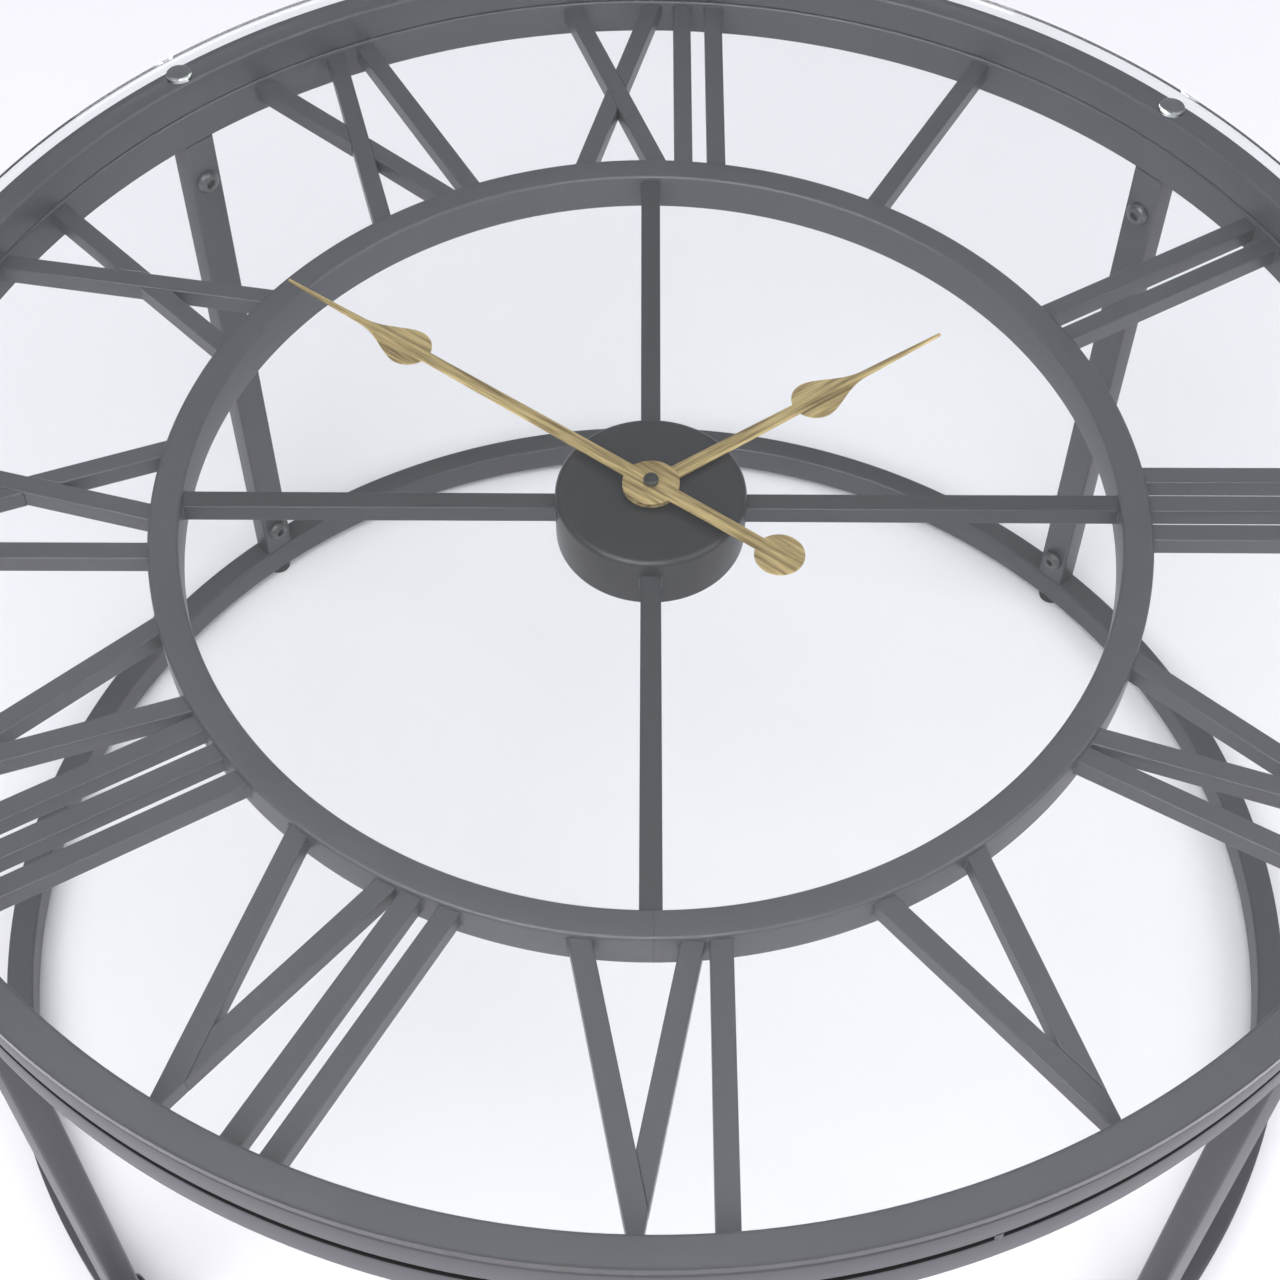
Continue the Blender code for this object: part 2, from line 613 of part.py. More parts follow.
def build_minute_arbor():
    arbor = cylinder("minute_arbor", ARBOR_RADIUS, ARBOR_LENGTH, STEEL, 16)
    place(arbor, z=ARBOR_TOP - ARBOR_LENGTH / 2)


def build_hand_nut():
    """The cap that holds the minute hand on its arbor, hollow from below."""
    bore = ARBOR_RADIUS + GAP
    crown = CAP_HEIGHT / 5
    profile = [(0.0, CAP_HEIGHT), (CAP_RADIUS - crown, CAP_HEIGHT), (CAP_RADIUS, CAP_HEIGHT - crown)]
    profile += [(CAP_RADIUS, 0.0), (bore, 0.0), (bore, CAP_HEIGHT - CAP_ROOF)]
    profile.append((0.0, CAP_HEIGHT - CAP_ROOF))
    place(turned("hand_nut", profile, BLACK_PLASTIC, 24), z=CAP_BOTTOM)


# ---- the table ----
tube_ring("base_ring", RIM_OUTER_RADIUS, RIM_INNER_RADIUS, BASE_RING_HEIGHT, BASE_BOTTOM)
for corner in CORNERS:
    build_foot(corner)
    build_leg(corner)
    build_leg_bolt(corner)
    build_bumper(corner)
tube_ring("dial_outer_ring", RIM_OUTER_RADIUS, RIM_INNER_RADIUS, DIAL_RING_HEIGHT, DIAL_BOTTOM)
tube_ring(
    "dial_inner_ring",
    DIAL_INNER_RING_OUTER_RADIUS,
    DIAL_INNER_RING_RADIUS,
    DIAL_RING_HEIGHT,
    DIAL_BOTTOM,
)
tube_ring("top_ring", RIM_OUTER_RADIUS, RIM_INNER_RADIUS, TOP_RING_HEIGHT, TOP_RING_BOTTOM)
for hour_number, numeral_text in enumerate(NUMERALS):
    build_numeral(hour_number, numeral_text)
for bar_number, bar_side in enumerate(("rear", "right", "front", "left")):
    build_crossbar(bar_number, bar_side)
build_hub_drum()
build_movement()
build_battery()
build_setting_knob()
build_fixing_nut()
build_hour_hand()
build_minute_hand()
build_minute_arbor()
build_hand_nut()
build_glass()
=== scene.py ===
import math

import bmesh
import bpy
from mathutils import Matrix, Vector


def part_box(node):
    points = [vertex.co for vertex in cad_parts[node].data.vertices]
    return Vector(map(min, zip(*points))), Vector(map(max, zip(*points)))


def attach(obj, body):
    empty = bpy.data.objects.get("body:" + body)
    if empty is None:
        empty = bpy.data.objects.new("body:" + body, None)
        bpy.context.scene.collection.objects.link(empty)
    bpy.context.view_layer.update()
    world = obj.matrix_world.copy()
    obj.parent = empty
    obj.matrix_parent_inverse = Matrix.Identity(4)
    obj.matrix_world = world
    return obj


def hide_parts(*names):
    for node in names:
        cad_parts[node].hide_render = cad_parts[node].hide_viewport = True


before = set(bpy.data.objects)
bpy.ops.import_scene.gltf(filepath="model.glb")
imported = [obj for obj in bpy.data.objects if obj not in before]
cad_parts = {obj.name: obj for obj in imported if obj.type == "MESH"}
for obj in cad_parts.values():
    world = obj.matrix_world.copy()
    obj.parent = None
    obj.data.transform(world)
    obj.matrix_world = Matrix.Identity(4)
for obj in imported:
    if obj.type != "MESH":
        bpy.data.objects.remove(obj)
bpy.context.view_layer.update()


# ---- The studio ----
# A pale seamless floor in a white room that is dim on the XII side, so that the glass mirrors little.
# A wide soft panel hangs over the VI side, where the camera is, and a smaller one over the III side.
CAMERA_LENS, SENSOR_WIDTH = 62.485, 36.0
CAMERA_AT_DIAL = (-0.0066, -0.7030, 0.8377)
CAMERA_PITCH, CAMERA_YAW, CAMERA_ROLL = 0.9353, 0.0025, 0.0065
PANEL_AIM = Vector((0.0, 0.0, 0.2))
PANEL_TINT = (1.0, 0.99, 0.98)
FLOOR_REACH = 8.0
dial_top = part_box("dial_outer_ring")[1][2]

scene = bpy.context.scene
scene.view_settings.view_transform = "Standard"

camera_data = bpy.data.cameras.new("camera")
camera_data.lens = CAMERA_LENS
camera_data.sensor_width = SENSOR_WIDTH
camera_data.clip_start = 0.05
camera = bpy.data.objects.new("camera", camera_data)
scene.collection.objects.link(camera)
forward = math.cos(CAMERA_PITCH)
ahead = Vector((math.sin(CAMERA_YAW) * forward, math.cos(CAMERA_YAW) * forward, -math.sin(CAMERA_PITCH)))
level_right = Vector((math.cos(CAMERA_YAW), -math.sin(CAMERA_YAW), 0.0))
level_up = level_right.cross(ahead)
camera_right = math.cos(CAMERA_ROLL) * level_right + math.sin(CAMERA_ROLL) * level_up
camera_up = math.cos(CAMERA_ROLL) * level_up - math.sin(CAMERA_ROLL) * level_right
camera.matrix_world = Matrix((camera_right, camera_up, -ahead)).transposed().to_4x4()
camera.location = Vector(CAMERA_AT_DIAL) + Vector((0.0, 0.0, dial_top))
scene.camera = camera


def preset(node, values):
    """Sets the node's own sockets, by name or number."""
    for socket, value in values.items():
        node.inputs[socket].default_value = value
    return node


def add_node(tree, kind, values=None, **settings):
    """A new node, with its settings and then the values of its sockets."""
    node = tree.nodes.new(kind)
    for key, value in settings.items():
        setattr(node, key, value)
    return preset(node, values or {})


def wire(tree, *links):
    """Links each node's output to another node's input."""
    for source, given, target, taken in links:
        tree.links.new(source.outputs[given], target.inputs[taken])


world = bpy.data.worlds.new("studio_air")
world.use_nodes = True
sky = world.node_tree
sky_direction = add_node(sky, "ShaderNodeTexCoord")
sky_split = add_node(sky, "ShaderNodeSeparateXYZ")
sky_level = add_node(
    sky,
    "ShaderNodeMapRange",
    {"From Min": 0.35, "From Max": 0.98, "To Min": 0.30, "To Max": 1.20},
    interpolation_type="SMOOTHSTEP",
)
sky_side = add_node(
    sky,
    "ShaderNodeMapRange",
    {"From Min": -0.6, "From Max": 0.6, "To Min": 1.35, "To Max": 0.42},
    interpolation_type="SMOOTHSTEP",
)
sky_strength = add_node(sky, "ShaderNodeMath", operation="MULTIPLY")
sky.nodes["Background"].inputs["Color"].default_value = (0.95, 0.965, 1.0, 1.0)
wire(
    sky,
    (sky_direction, "Generated", sky_split, 0),
    (sky_split, "Z", sky_level, "Value"),
    (sky_split, "Y", sky_side, "Value"),
    (sky_level, 0, sky_strength, 0),
    (sky_side, 0, sky_strength, 1),
    (sky_strength, 0, sky.nodes["Background"], "Strength"),
)
scene.world = world


def soft_panel(name, place, size, power):
    """A square soft light that faces the dial."""
    light = bpy.data.lights.new(name, "AREA")
    light.shape = "SQUARE"
    light.size = size
    light.energy = power
    light.color = PANEL_TINT
    panel = bpy.data.objects.new(name, light)
    scene.collection.objects.link(panel)
    panel.location = place
    panel.rotation_euler = (PANEL_AIM - Vector(place)).to_track_quat("-Z", "Y").to_euler()


soft_panel("panel_key", (-0.7, -1.8, 2.6), 2.6, 73.0)
soft_panel("panel_fill", (2.2, -0.8, 2.0), 1.6, 20.0)


def mesh_of(name, shape):
    """The finished shape as a mesh."""
    mesh = bpy.data.meshes.new(name)
    shape.to_mesh(mesh)
    shape.free()
    return mesh


def named(start):
    """The CAD nodes whose names start so."""
    return [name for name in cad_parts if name.startswith(start)]


def link_mesh(name, mesh):
    obj = bpy.data.objects.new(name, mesh)
    scene.collection.objects.link(obj)
    return obj


def new_finish(name, values):
    """A material, its tree and its Principled shader with these values."""
    finish = bpy.data.materials.new(name)
    finish.use_nodes = True
    return finish, finish.node_tree, preset(finish.node_tree.nodes["Principled BSDF"], values)


floor_shape = bmesh.new()
bmesh.ops.create_grid(floor_shape, x_segments=1, y_segments=1, size=FLOOR_REACH)
floor = link_mesh("floor", mesh_of("floor", floor_shape))
FLOOR_PAPER = new_finish("floor_paper", {"Base Color": (0.925, 0.908, 0.955, 1.0), "Roughness": 0.75})[0]
floor.data.materials.append(FLOOR_PAPER)


# ---- Base ring ----
# A hoop of 16 x 20 mm steel tube, rolled, butt-welded into a ring, ground flush and powder
# coated in satin gunmetal grey. The four legs stand on it.
TUBE_CORNER = 0.0018
SEAM_CORNER = 0.0036
RING_SEGMENTS = 288


def shader_group(name, inputs, outputs):
    """A shader node group with its input and output nodes."""
    tree = bpy.data.node_groups.new(name, "ShaderNodeTree")
    for label, kind, *value in inputs:
        socket = tree.interface.new_socket(label, in_out="INPUT", socket_type="NodeSocket" + kind)
        if value:
            socket.default_value = value[0]
    for label, kind in outputs:
        tree.interface.new_socket(label, in_out="OUTPUT", socket_type="NodeSocket" + kind)
    return tree, tree.nodes.new("NodeGroupInput"), tree.nodes.new("NodeGroupOutput")


coat_tree, coat_in, coat_out = shader_group(
    "powder_coat",
    [
        ("Vector", "Vector"),
        ("Dark", "Color"),
        ("Light", "Color"),
        ("Roughness", "Float"),
        ("Cloud Size", "Float", 14.0),
        ("Grain Size", "Float", 2400.0),
    ],
    [("Color", "Color"), ("Roughness", "Float"), ("Height", "Float")],
)
coat_cloud = add_node(coat_tree, "ShaderNodeTexNoise", {"Detail": 3.0})
coat_grain = add_node(coat_tree, "ShaderNodeTexNoise", {"Detail": 2.0})
coat_blend = add_node(coat_tree, "ShaderNodeMath", {1: 0.8}, operation="MULTIPLY_ADD")
coat_mix = add_node(coat_tree, "ShaderNodeMix", data_type="RGBA")
coat_half = add_node(coat_tree, "ShaderNodeMath", {1: 0.2}, operation="MULTIPLY")
coat_rough = add_node(coat_tree, "ShaderNodeMath", {1: 0.05}, operation="MULTIPLY_ADD")
coat_lower = add_node(coat_tree, "ShaderNodeMath", {1: 0.025}, operation="SUBTRACT")
wire(
    coat_tree,
    (coat_in, "Vector", coat_cloud, "Vector"),
    (coat_in, "Vector", coat_grain, "Vector"),
    (coat_in, "Cloud Size", coat_cloud, "Scale"),
    (coat_in, "Grain Size", coat_grain, "Scale"),
    (coat_grain, "Fac", coat_half, 0),
    (coat_cloud, "Fac", coat_blend, 0),
    (coat_half, 0, coat_blend, 2),
    (coat_blend, 0, coat_mix, 0),
    (coat_in, "Dark", coat_mix, 6),
    (coat_in, "Light", coat_mix, 7),
    (coat_mix, 2, coat_out, "Color"),
    (coat_in, "Roughness", coat_lower, 0),
    (coat_grain, "Fac", coat_rough, 0),
    (coat_lower, 0, coat_rough, 2),
    (coat_rough, 0, coat_out, "Roughness"),
    (coat_grain, "Fac", coat_out, "Height"),
)


def coated_metal(name, dark, light, roughness, metallic, bump=0.05):
    """Powder-coated or moulded finish: clouded colour, fine grain in the gloss and a faint orange peel."""
    finish, tree, shader = new_finish(name, {"Metallic": metallic})
    place = add_node(tree, "ShaderNodeTexCoord")
    coat = add_node(
        tree,
        "ShaderNodeGroup",
        {"Dark": (*dark, 1.0), "Light": (*light, 1.0), "Roughness": roughness},
        node_tree=coat_tree,
    )
    peel = add_node(tree, "ShaderNodeBump", {"Strength": bump, "Distance": 0.0002})
    wire(
        tree,
        (place, "Object", coat, "Vector"),
        (coat, "Color", shader, "Base Color"),
        (coat, "Roughness", shader, "Roughness"),
        (coat, "Height", peel, "Height"),
        (peel, "Normal", shader, "Normal"),
    )
    return finish


GUNMETAL = coated_metal("gunmetal_powder_coat", (0.060, 0.060, 0.0695), (0.084, 0.0835, 0.0955), 0.40, 0.3)


def geometry_tree(name, inputs):
    """A Geometry Nodes tree, its group input, and the node that starts its closing chain."""
    tree = bpy.data.node_groups.new(name, "GeometryNodeTree")
    tree.interface.new_socket("Geometry", in_out="OUTPUT", socket_type="NodeSocketGeometry")
    for label, kind in inputs + [("Material", "Material")]:
        tree.interface.new_socket(label, in_out="INPUT", socket_type="NodeSocket" + kind)
    given = tree.nodes.new("NodeGroupInput")
    realize = tree.nodes.new("GeometryNodeRealizeInstances")
    paint = tree.nodes.new("GeometryNodeSetMaterial")
    out = tree.nodes.new("NodeGroupOutput")
    wire(
        tree,
        (realize, 0, paint, "Geometry"),
        (given, "Material", paint, "Material"),
        (paint, 0, out, 0),
    )
    return tree, given, realize


def grow(name, tree, values):
    """Runs a tree with these inputs and returns the result as a plain mesh object."""
    holder = link_mesh(name + "_holder", bpy.data.meshes.new(name + "_holder"))
    modifier = holder.modifiers.new("tree", "NODES")
    modifier.node_group = tree
    for item in tree.interface.items_tree:
        if item.item_type == "SOCKET" and item.in_out == "INPUT" and item.name in values:
            modifier[item.identifier] = values[item.name]
    graph = bpy.context.evaluated_depsgraph_get()
    mesh = bpy.data.meshes.new_from_object(holder.evaluated_get(graph))
    holder.modifiers.clear()
    bpy.data.objects.remove(holder)
    mesh.name = name
    tidy_normals(mesh)
    return link_mesh(name, mesh)


def tidy_normals(mesh, sharp=40.0):
    """Doubles merged, faces turned outwards, and edges over the angle kept crisp."""
    shape = bmesh.new()
    shape.from_mesh(mesh)
    bmesh.ops.remove_doubles(shape, verts=shape.verts, dist=0.000002)
    bmesh.ops.recalc_face_normals(shape, faces=shape.faces)
    shape.to_mesh(mesh)
    shape.free()
    mesh.shade_smooth()
    mesh.set_sharp_from_angle(angle=math.radians(sharp))


hoop_tree, hoop_in, hoop_end = geometry_tree(
    "rolled_hoop",
    [
        ("Radius", "Float"),
        ("Tube Width", "Float"),
        ("Tube Height", "Float"),
        ("Corner Radius", "Float"),
        ("Seam Radius", "Float"),
        ("Seam Side", "Float"),
        ("Middle Height", "Float"),
        ("Segments", "Int"),
    ],
)
hoop_path = add_node(hoop_tree, "GeometryNodeCurvePrimitiveCircle", mode="RADIUS")
hoop_level = add_node(hoop_tree, "GeometryNodeSetCurveNormal", mode="Z_UP")
hoop_section = add_node(hoop_tree, "GeometryNodeCurvePrimitiveQuadrilateral")
hoop_corner = add_node(
    hoop_tree,
    "GeometryNodeFilletCurve",
    {"Count": 5, "Limit Radius": True},
    mode="POLY",
)
hoop_place = add_node(hoop_tree, "GeometryNodeInputPosition")
hoop_split = add_node(hoop_tree, "ShaderNodeSeparateXYZ")
hoop_sided = add_node(hoop_tree, "ShaderNodeMath", operation="MULTIPLY")
hoop_outer = add_node(hoop_tree, "FunctionNodeCompare", operation="GREATER_THAN")
hoop_facing = add_node(hoop_tree, "FunctionNodeCompare", operation="LESS_THAN")
hoop_both = add_node(hoop_tree, "FunctionNodeBooleanMath", operation="AND")
hoop_choose = add_node(hoop_tree, "GeometryNodeSwitch", input_type="FLOAT")
hoop_roll = add_node(hoop_tree, "GeometryNodeCurveToMesh")
hoop_lift = add_node(hoop_tree, "ShaderNodeCombineXYZ")
hoop_move = add_node(hoop_tree, "GeometryNodeTransform")
wire(
    hoop_tree,
    (hoop_in, "Segments", hoop_path, "Resolution"),
    (hoop_in, "Radius", hoop_path, "Radius"),
    (hoop_path, 0, hoop_level, "Curve"),
    (hoop_in, "Tube Width", hoop_section, "Width"),
    (hoop_in, "Tube Height", hoop_section, "Height"),
    (hoop_section, 0, hoop_corner, "Curve"),
    (hoop_place, 0, hoop_split, 0),
    (hoop_split, "X", hoop_outer, "A"),
    (hoop_split, "Y", hoop_sided, 0),
    (hoop_in, "Seam Side", hoop_sided, 1),
    (hoop_sided, 0, hoop_facing, "A"),
    (hoop_outer, 0, hoop_both, 0),
    (hoop_facing, 0, hoop_both, 1),
    (hoop_both, 0, hoop_choose, "Switch"),
    (hoop_in, "Corner Radius", hoop_choose, "False"),
    (hoop_in, "Seam Radius", hoop_choose, "True"),
    (hoop_choose, 0, hoop_corner, "Radius"),
    (hoop_level, 0, hoop_roll, "Curve"),
    (hoop_corner, 0, hoop_roll, "Profile Curve"),
    (hoop_in, "Middle Height", hoop_lift, "Z"),
    (hoop_roll, 0, hoop_move, "Geometry"),
    (hoop_lift, 0, hoop_move, "Translation"),
    (hoop_move, 0, hoop_end, 0),
)


def rolled_hoop(node, outer_radius, width, seam_side=0.0):
    """A finished ring in place of the CAD ring of that name. The outer corner on its seam side, +1
    above or -1 below, is rounder than the others."""
    low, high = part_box(node)
    hoop = grow(
        node + "_tube",
        hoop_tree,
        {
            "Radius": outer_radius - width / 2,
            "Tube Width": width,
            "Tube Height": high[2] - low[2],
            "Corner Radius": TUBE_CORNER,
            "Seam Radius": SEAM_CORNER,
            "Seam Side": seam_side,
            "Middle Height": (high[2] + low[2]) / 2,
            "Segments": RING_SEGMENTS,
            "Material": GUNMETAL,
        },
    )
    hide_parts(node)
    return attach(hoop, "frame")


RIM_WIDTH = 0.0162
rim_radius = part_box("base_ring")[1][0]
rolled_hoop("base_ring", rim_radius, RIM_WIDTH)


# ---- Foot pads ----
# Small black rubber discs under the base ring, one below each leg, with moulded rings that grip
# the floor. Each is held by a screw from above.
leg_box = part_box("leg_rear_right")
leg_azimuth = math.degrees(math.atan2(leg_box[0][0] + leg_box[1][0], leg_box[0][1] + leg_box[1][1]))
rim_middle = rim_radius - RIM_WIDTH / 2

around_tree, around_in, around_end = geometry_tree(
    "one_at_each_leg",
    [
        ("Piece", "Object"),
        ("Count", "Int"),
        ("Radius", "Float"),
        ("Height", "Float"),
        ("First Azimuth", "Float"),
    ],
)
around_points = add_node(around_tree, "GeometryNodePoints")
around_index = add_node(around_tree, "GeometryNodeInputIndex")
around_share = add_node(around_tree, "ShaderNodeMath", operation="DIVIDE")
around_turn = add_node(around_tree, "ShaderNodeMath", {1: -2 * math.pi}, operation="MULTIPLY_ADD")
around_first = add_node(around_tree, "ShaderNodeMath", {1: -1.0}, operation="MULTIPLY")
around_spin = add_node(around_tree, "ShaderNodeCombineXYZ")
around_out = add_node(around_tree, "ShaderNodeCombineXYZ")
around_swing = add_node(around_tree, "ShaderNodeVectorRotate", rotation_type="Z_AXIS")
around_copy = add_node(around_tree, "GeometryNodeInstanceOnPoints")
around_piece = add_node(around_tree, "GeometryNodeObjectInfo")
wire(
    around_tree,
    (around_in, "Count", around_points, "Count"),
    (around_index, 0, around_share, 0),
    (around_in, "Count", around_share, 1),
    (around_share, 0, around_turn, 0),
    (around_in, "First Azimuth", around_first, 0),
    (around_first, 0, around_turn, 2),
    (around_turn, 0, around_spin, "Z"),
    (around_in, "Radius", around_out, "Y"),
    (around_in, "Height", around_out, "Z"),
    (around_out, 0, around_swing, "Vector"),
    (around_turn, 0, around_swing, "Angle"),
    (around_swing, 0, around_points, "Position"),
    (around_in, "Piece", around_piece, "Object"),
    (around_points, 0, around_copy, "Points"),
    (around_piece, "Geometry", around_copy, "Instance"),
    (around_spin, 0, around_copy, "Rotation"),
    (around_copy, 0, around_end, 0),
)


def one_at_each_leg(name, piece, radius, height, material):
    """Four copies of a piece, each turned so that its own +Y points away from the hub."""
    values = {"Piece": piece, "Count": 4, "Radius": radius, "Height": height}
    values["First Azimuth"] = math.radians(leg_azimuth)
    values["Material"] = material
    copies = grow(name, around_tree, values)
    bpy.data.objects.remove(piece)
    return copies


def turned(name, profile, steps):
    """A profile of (radius, height) points turned about Z into a closed body."""
    shape = bmesh.new()
    points = [shape.verts.new((radius, 0.0, height)) for radius, height in profile]
    edges = [shape.edges.new(pair) for pair in zip(points, points[1:])]
    if profile[0][0] > 0 or profile[-1][0] > 0:
        edges.append(shape.edges.new((points[-1], points[0])))
    bmesh.ops.spin(
        shape,
        geom=points + edges,
        axis=(0.0, 0.0, 1.0),
        cent=(0.0, 0.0, 0.0),
        angle=2 * math.pi,
        steps=steps,
        use_merge=True,
    )
    mesh = mesh_of(name, shape)
    tidy_normals(mesh)
    return link_mesh(name, mesh)


def quarter(middle, radius, start, end, steps=5):
    """Points along an arc from one angle to the other, in degrees."""
    angles = [math.radians(start + (end - start) * i / steps) for i in range(steps + 1)]
    return [(middle[0] + radius * math.cos(a), middle[1] + radius * math.sin(a)) for a in angles]


RUBBER = coated_metal("black_rubber", (0.012, 0.012, 0.013), (0.022, 0.022, 0.024), 0.62, 0.0, bump=0.25)

foot_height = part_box("foot_pad_rear_right")[1][2]
foot_radius = 0.008
foot_profile = [(0.0, foot_height), (foot_radius - 0.0004, foot_height)]
foot_profile.append((foot_radius, foot_height - 0.0004))
foot_profile += [(foot_radius, 0.0034), (foot_radius - 0.0003, 0.0031), (foot_radius - 0.0003, 0.0027)]
foot_profile += [(foot_radius, 0.0024)] + quarter((foot_radius - 0.001, 0.001), 0.001, 0, -90)
for groove in (0.0058, 0.0042, 0.0026):
    foot_profile += [(groove + 0.0003, 0.0), (groove, 0.0005), (groove - 0.0003, 0.0)]
foot_profile.append((0.0, 0.0))
feet = one_at_each_leg("foot_pads", turned("foot_pad_one", foot_profile, 40), rim_middle, 0.0, RUBBER)
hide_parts(*named("foot_pad"))
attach(feet, "frame")


# ---- Legs ----
# Four uprights of the same tube, pushed over short stubs that are welded to the base ring and to
# the dial's outer ring, so a hairline joint shows at each end.
LEG_WIDTH, LEG_DEPTH = 0.020, 0.015
STUB_CLEARANCE = 0.0016


def rounded_post(name, width, depth, low, high, corner, end_corner):
    """An upright rounded bar, its corners softened along its length and at its ends."""
    shape = bmesh.new()
    bmesh.ops.create_cube(shape, size=1.0)
    bmesh.ops.scale(shape, vec=(width, depth, high - low), verts=shape.verts)
    bmesh.ops.translate(shape, vec=(0.0, 0.0, (high + low) / 2), verts=shape.verts)
    upright = [e for e in shape.edges if abs(e.verts[0].co.z - e.verts[1].co.z) > (high - low) / 2]
    bmesh.ops.bevel(shape, geom=upright, offset=corner, segments=5, profile=0.5, affect="EDGES")
    if end_corner:
        rim = [e for e in shape.edges if abs(e.verts[0].co.z - e.verts[1].co.z) < 0.0001]
        bmesh.ops.bevel(shape, geom=rim, offset=end_corner, segments=2, profile=0.5, affect="EDGES")
    mesh = mesh_of(name, shape)
    tidy_normals(mesh)
    return link_mesh(name, mesh)


leg_low, leg_high = leg_box[0][2], leg_box[1][2]
leg_one = rounded_post("leg_one", LEG_WIDTH, LEG_DEPTH, leg_low, leg_high, TUBE_CORNER, 0.0003)
legs = one_at_each_leg("legs", leg_one, rim_middle, 0.0, GUNMETAL)
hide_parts(*[n for n in named("leg_") if n not in named("leg_bolt")])
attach(legs, "frame")

stub_size = (LEG_WIDTH - 2 * STUB_CLEARANCE, LEG_DEPTH - 2 * STUB_CLEARANCE)
for stub_name, stub_end in (("stubs_lower", leg_low), ("stubs_upper", leg_high)):
    stub_one = rounded_post("stub_one", *stub_size, stub_end - 0.002, stub_end + 0.002, 0.001, 0.0)
    stubs = one_at_each_leg(stub_name, stub_one, rim_middle, 0.0, GUNMETAL)
    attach(stubs, "frame")


# ---- Leg bolts ----
# Button-head socket screws, M8, painted with the frame. One near each end of every leg goes
# through its inner face into the stub behind.
bolt_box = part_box("leg_bolt_rear_right")
bolt_height = (bolt_box[0][2] + bolt_box[1][2]) / 2
bolt_head_radius = (bolt_box[1][2] - bolt_box[0][2]) / 2
BOLT_HEAD_HEIGHT = 0.0044
HEAD_RIM = 0.0006
SOCKET_ACROSS, SOCKET_DEPTH = 0.005, 0.0026
LOWER_BOLT_RISE = 0.0205


def socket_screw(name, head_radius, head_height):
    """A domed head with a six-sided socket, its seat in the plane Z = 0 and its crown towards +Z."""
    sides, rings = 48, []
    mouth = SOCKET_ACROSS / math.sqrt(3)
    crown = head_radius * 0.52
    dome = [(crown, head_height)]
    for i in range(1, 7):
        angle = math.radians(90 - 14 * i)
        out = crown + (head_radius - crown) * math.cos(angle)
        dome.append((out, HEAD_RIM + (head_height - HEAD_RIM) * math.sin(angle)))
    dome += [(head_radius, 0.0003), (head_radius - 0.0002, 0.0)]
    shape = bmesh.new()

    def hexagon_reach(angle):
        across = (angle + math.pi / 6) % (math.pi / 3) - math.pi / 6
        return SOCKET_ACROSS / 2 / math.cos(across)

    def ring(reach, height):
        made = []
        for i in range(sides):
            angle = 2 * math.pi * i / sides
            out = reach(angle) if callable(reach) else reach
            made.append(shape.verts.new((out * math.cos(angle), out * math.sin(angle), height)))
        rings.append(made)

    ring(hexagon_reach, head_height - SOCKET_DEPTH)
    ring(hexagon_reach, head_height - 0.0002)
    ring(lambda a: min(hexagon_reach(a) + 0.0002, mouth + 0.0002), head_height)
    for reach, height in dome:
        ring(reach, height)
    ring(0.004, -0.0001)
    ring(0.004, -0.003)
    for inner, outer in zip(rings, rings[1:]):
        for i in range(sides):
            k = (i + 1) % sides
            shape.faces.new((inner[i], inner[k], outer[k], outer[i]))
    shape.faces.new(rings[0])
    shape.faces.new(list(reversed(rings[-1])))
    mesh = mesh_of(name, shape)
    tidy_normals(mesh)
    return link_mesh(name, mesh)


BOLT_GREY = coated_metal("bolt_coating", (0.085, 0.087, 0.094), (0.125, 0.127, 0.135), 0.30, 0.6)

bolt_levels = {"leg_bolts_upper": bolt_height, "leg_bolts_lower": leg_low + LOWER_BOLT_RISE}
for bolt_name, bolt_level in bolt_levels.items():
    bolt_one = socket_screw("bolt_one", bolt_head_radius, BOLT_HEAD_HEIGHT)
    bolt_one.data.transform(Matrix.Rotation(math.pi / 2, 4, "X"))
    leg_face = rim_middle - LEG_DEPTH / 2 - 0.0001
    bolts = one_at_each_leg(bolt_name, bolt_one, leg_face, bolt_level, BOLT_GREY)
    if bolt_name == "leg_bolts_upper":
        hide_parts(*named("leg_bolt"))
    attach(bolts, "frame")


# ---- Dial rings ----
# Two concentric hoops of the same tube, level with each other. The outer one joins the legs, and
# the inner one carries the feet of the numerals and the ends of the crossbars.
INNER_RING_WIDTH = 0.015
rolled_hoop("dial_outer_ring", rim_radius, RIM_WIDTH, seam_side=1.0)
inner_ring_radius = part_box("dial_inner_ring")[1][0]
rolled_hoop("dial_inner_ring", inner_ring_radius, INNER_RING_WIDTH)


# ---- Numerals ----
# Roman numerals of 10 mm square bar between the rings, cut to their curves and welded to both. One
# arm of each V and one bar of each X runs through, and what crosses it is cut to butt against it.
BAR_CORNER = 0.0006


def merged_copy(node, name):
    """The CAD node's own shape as a clean mesh, with its flat faces whole again."""
    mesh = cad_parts[node].data.copy()
    mesh.name = name
    mesh.materials.clear()
    for layer in list(mesh.attributes):
        if layer.name == "custom_normal":
            mesh.attributes.remove(layer)
    shape = bmesh.new()
    shape.from_mesh(mesh)
    bmesh.ops.remove_doubles(shape, verts=shape.verts, dist=0.00001)
    bmesh.ops.dissolve_limit(shape, angle_limit=math.radians(0.4), verts=shape.verts, edges=shape.edges)
    bmesh.ops.recalc_face_normals(shape, faces=shape.faces)
    shape.to_mesh(mesh)
    shape.free()
    return mesh


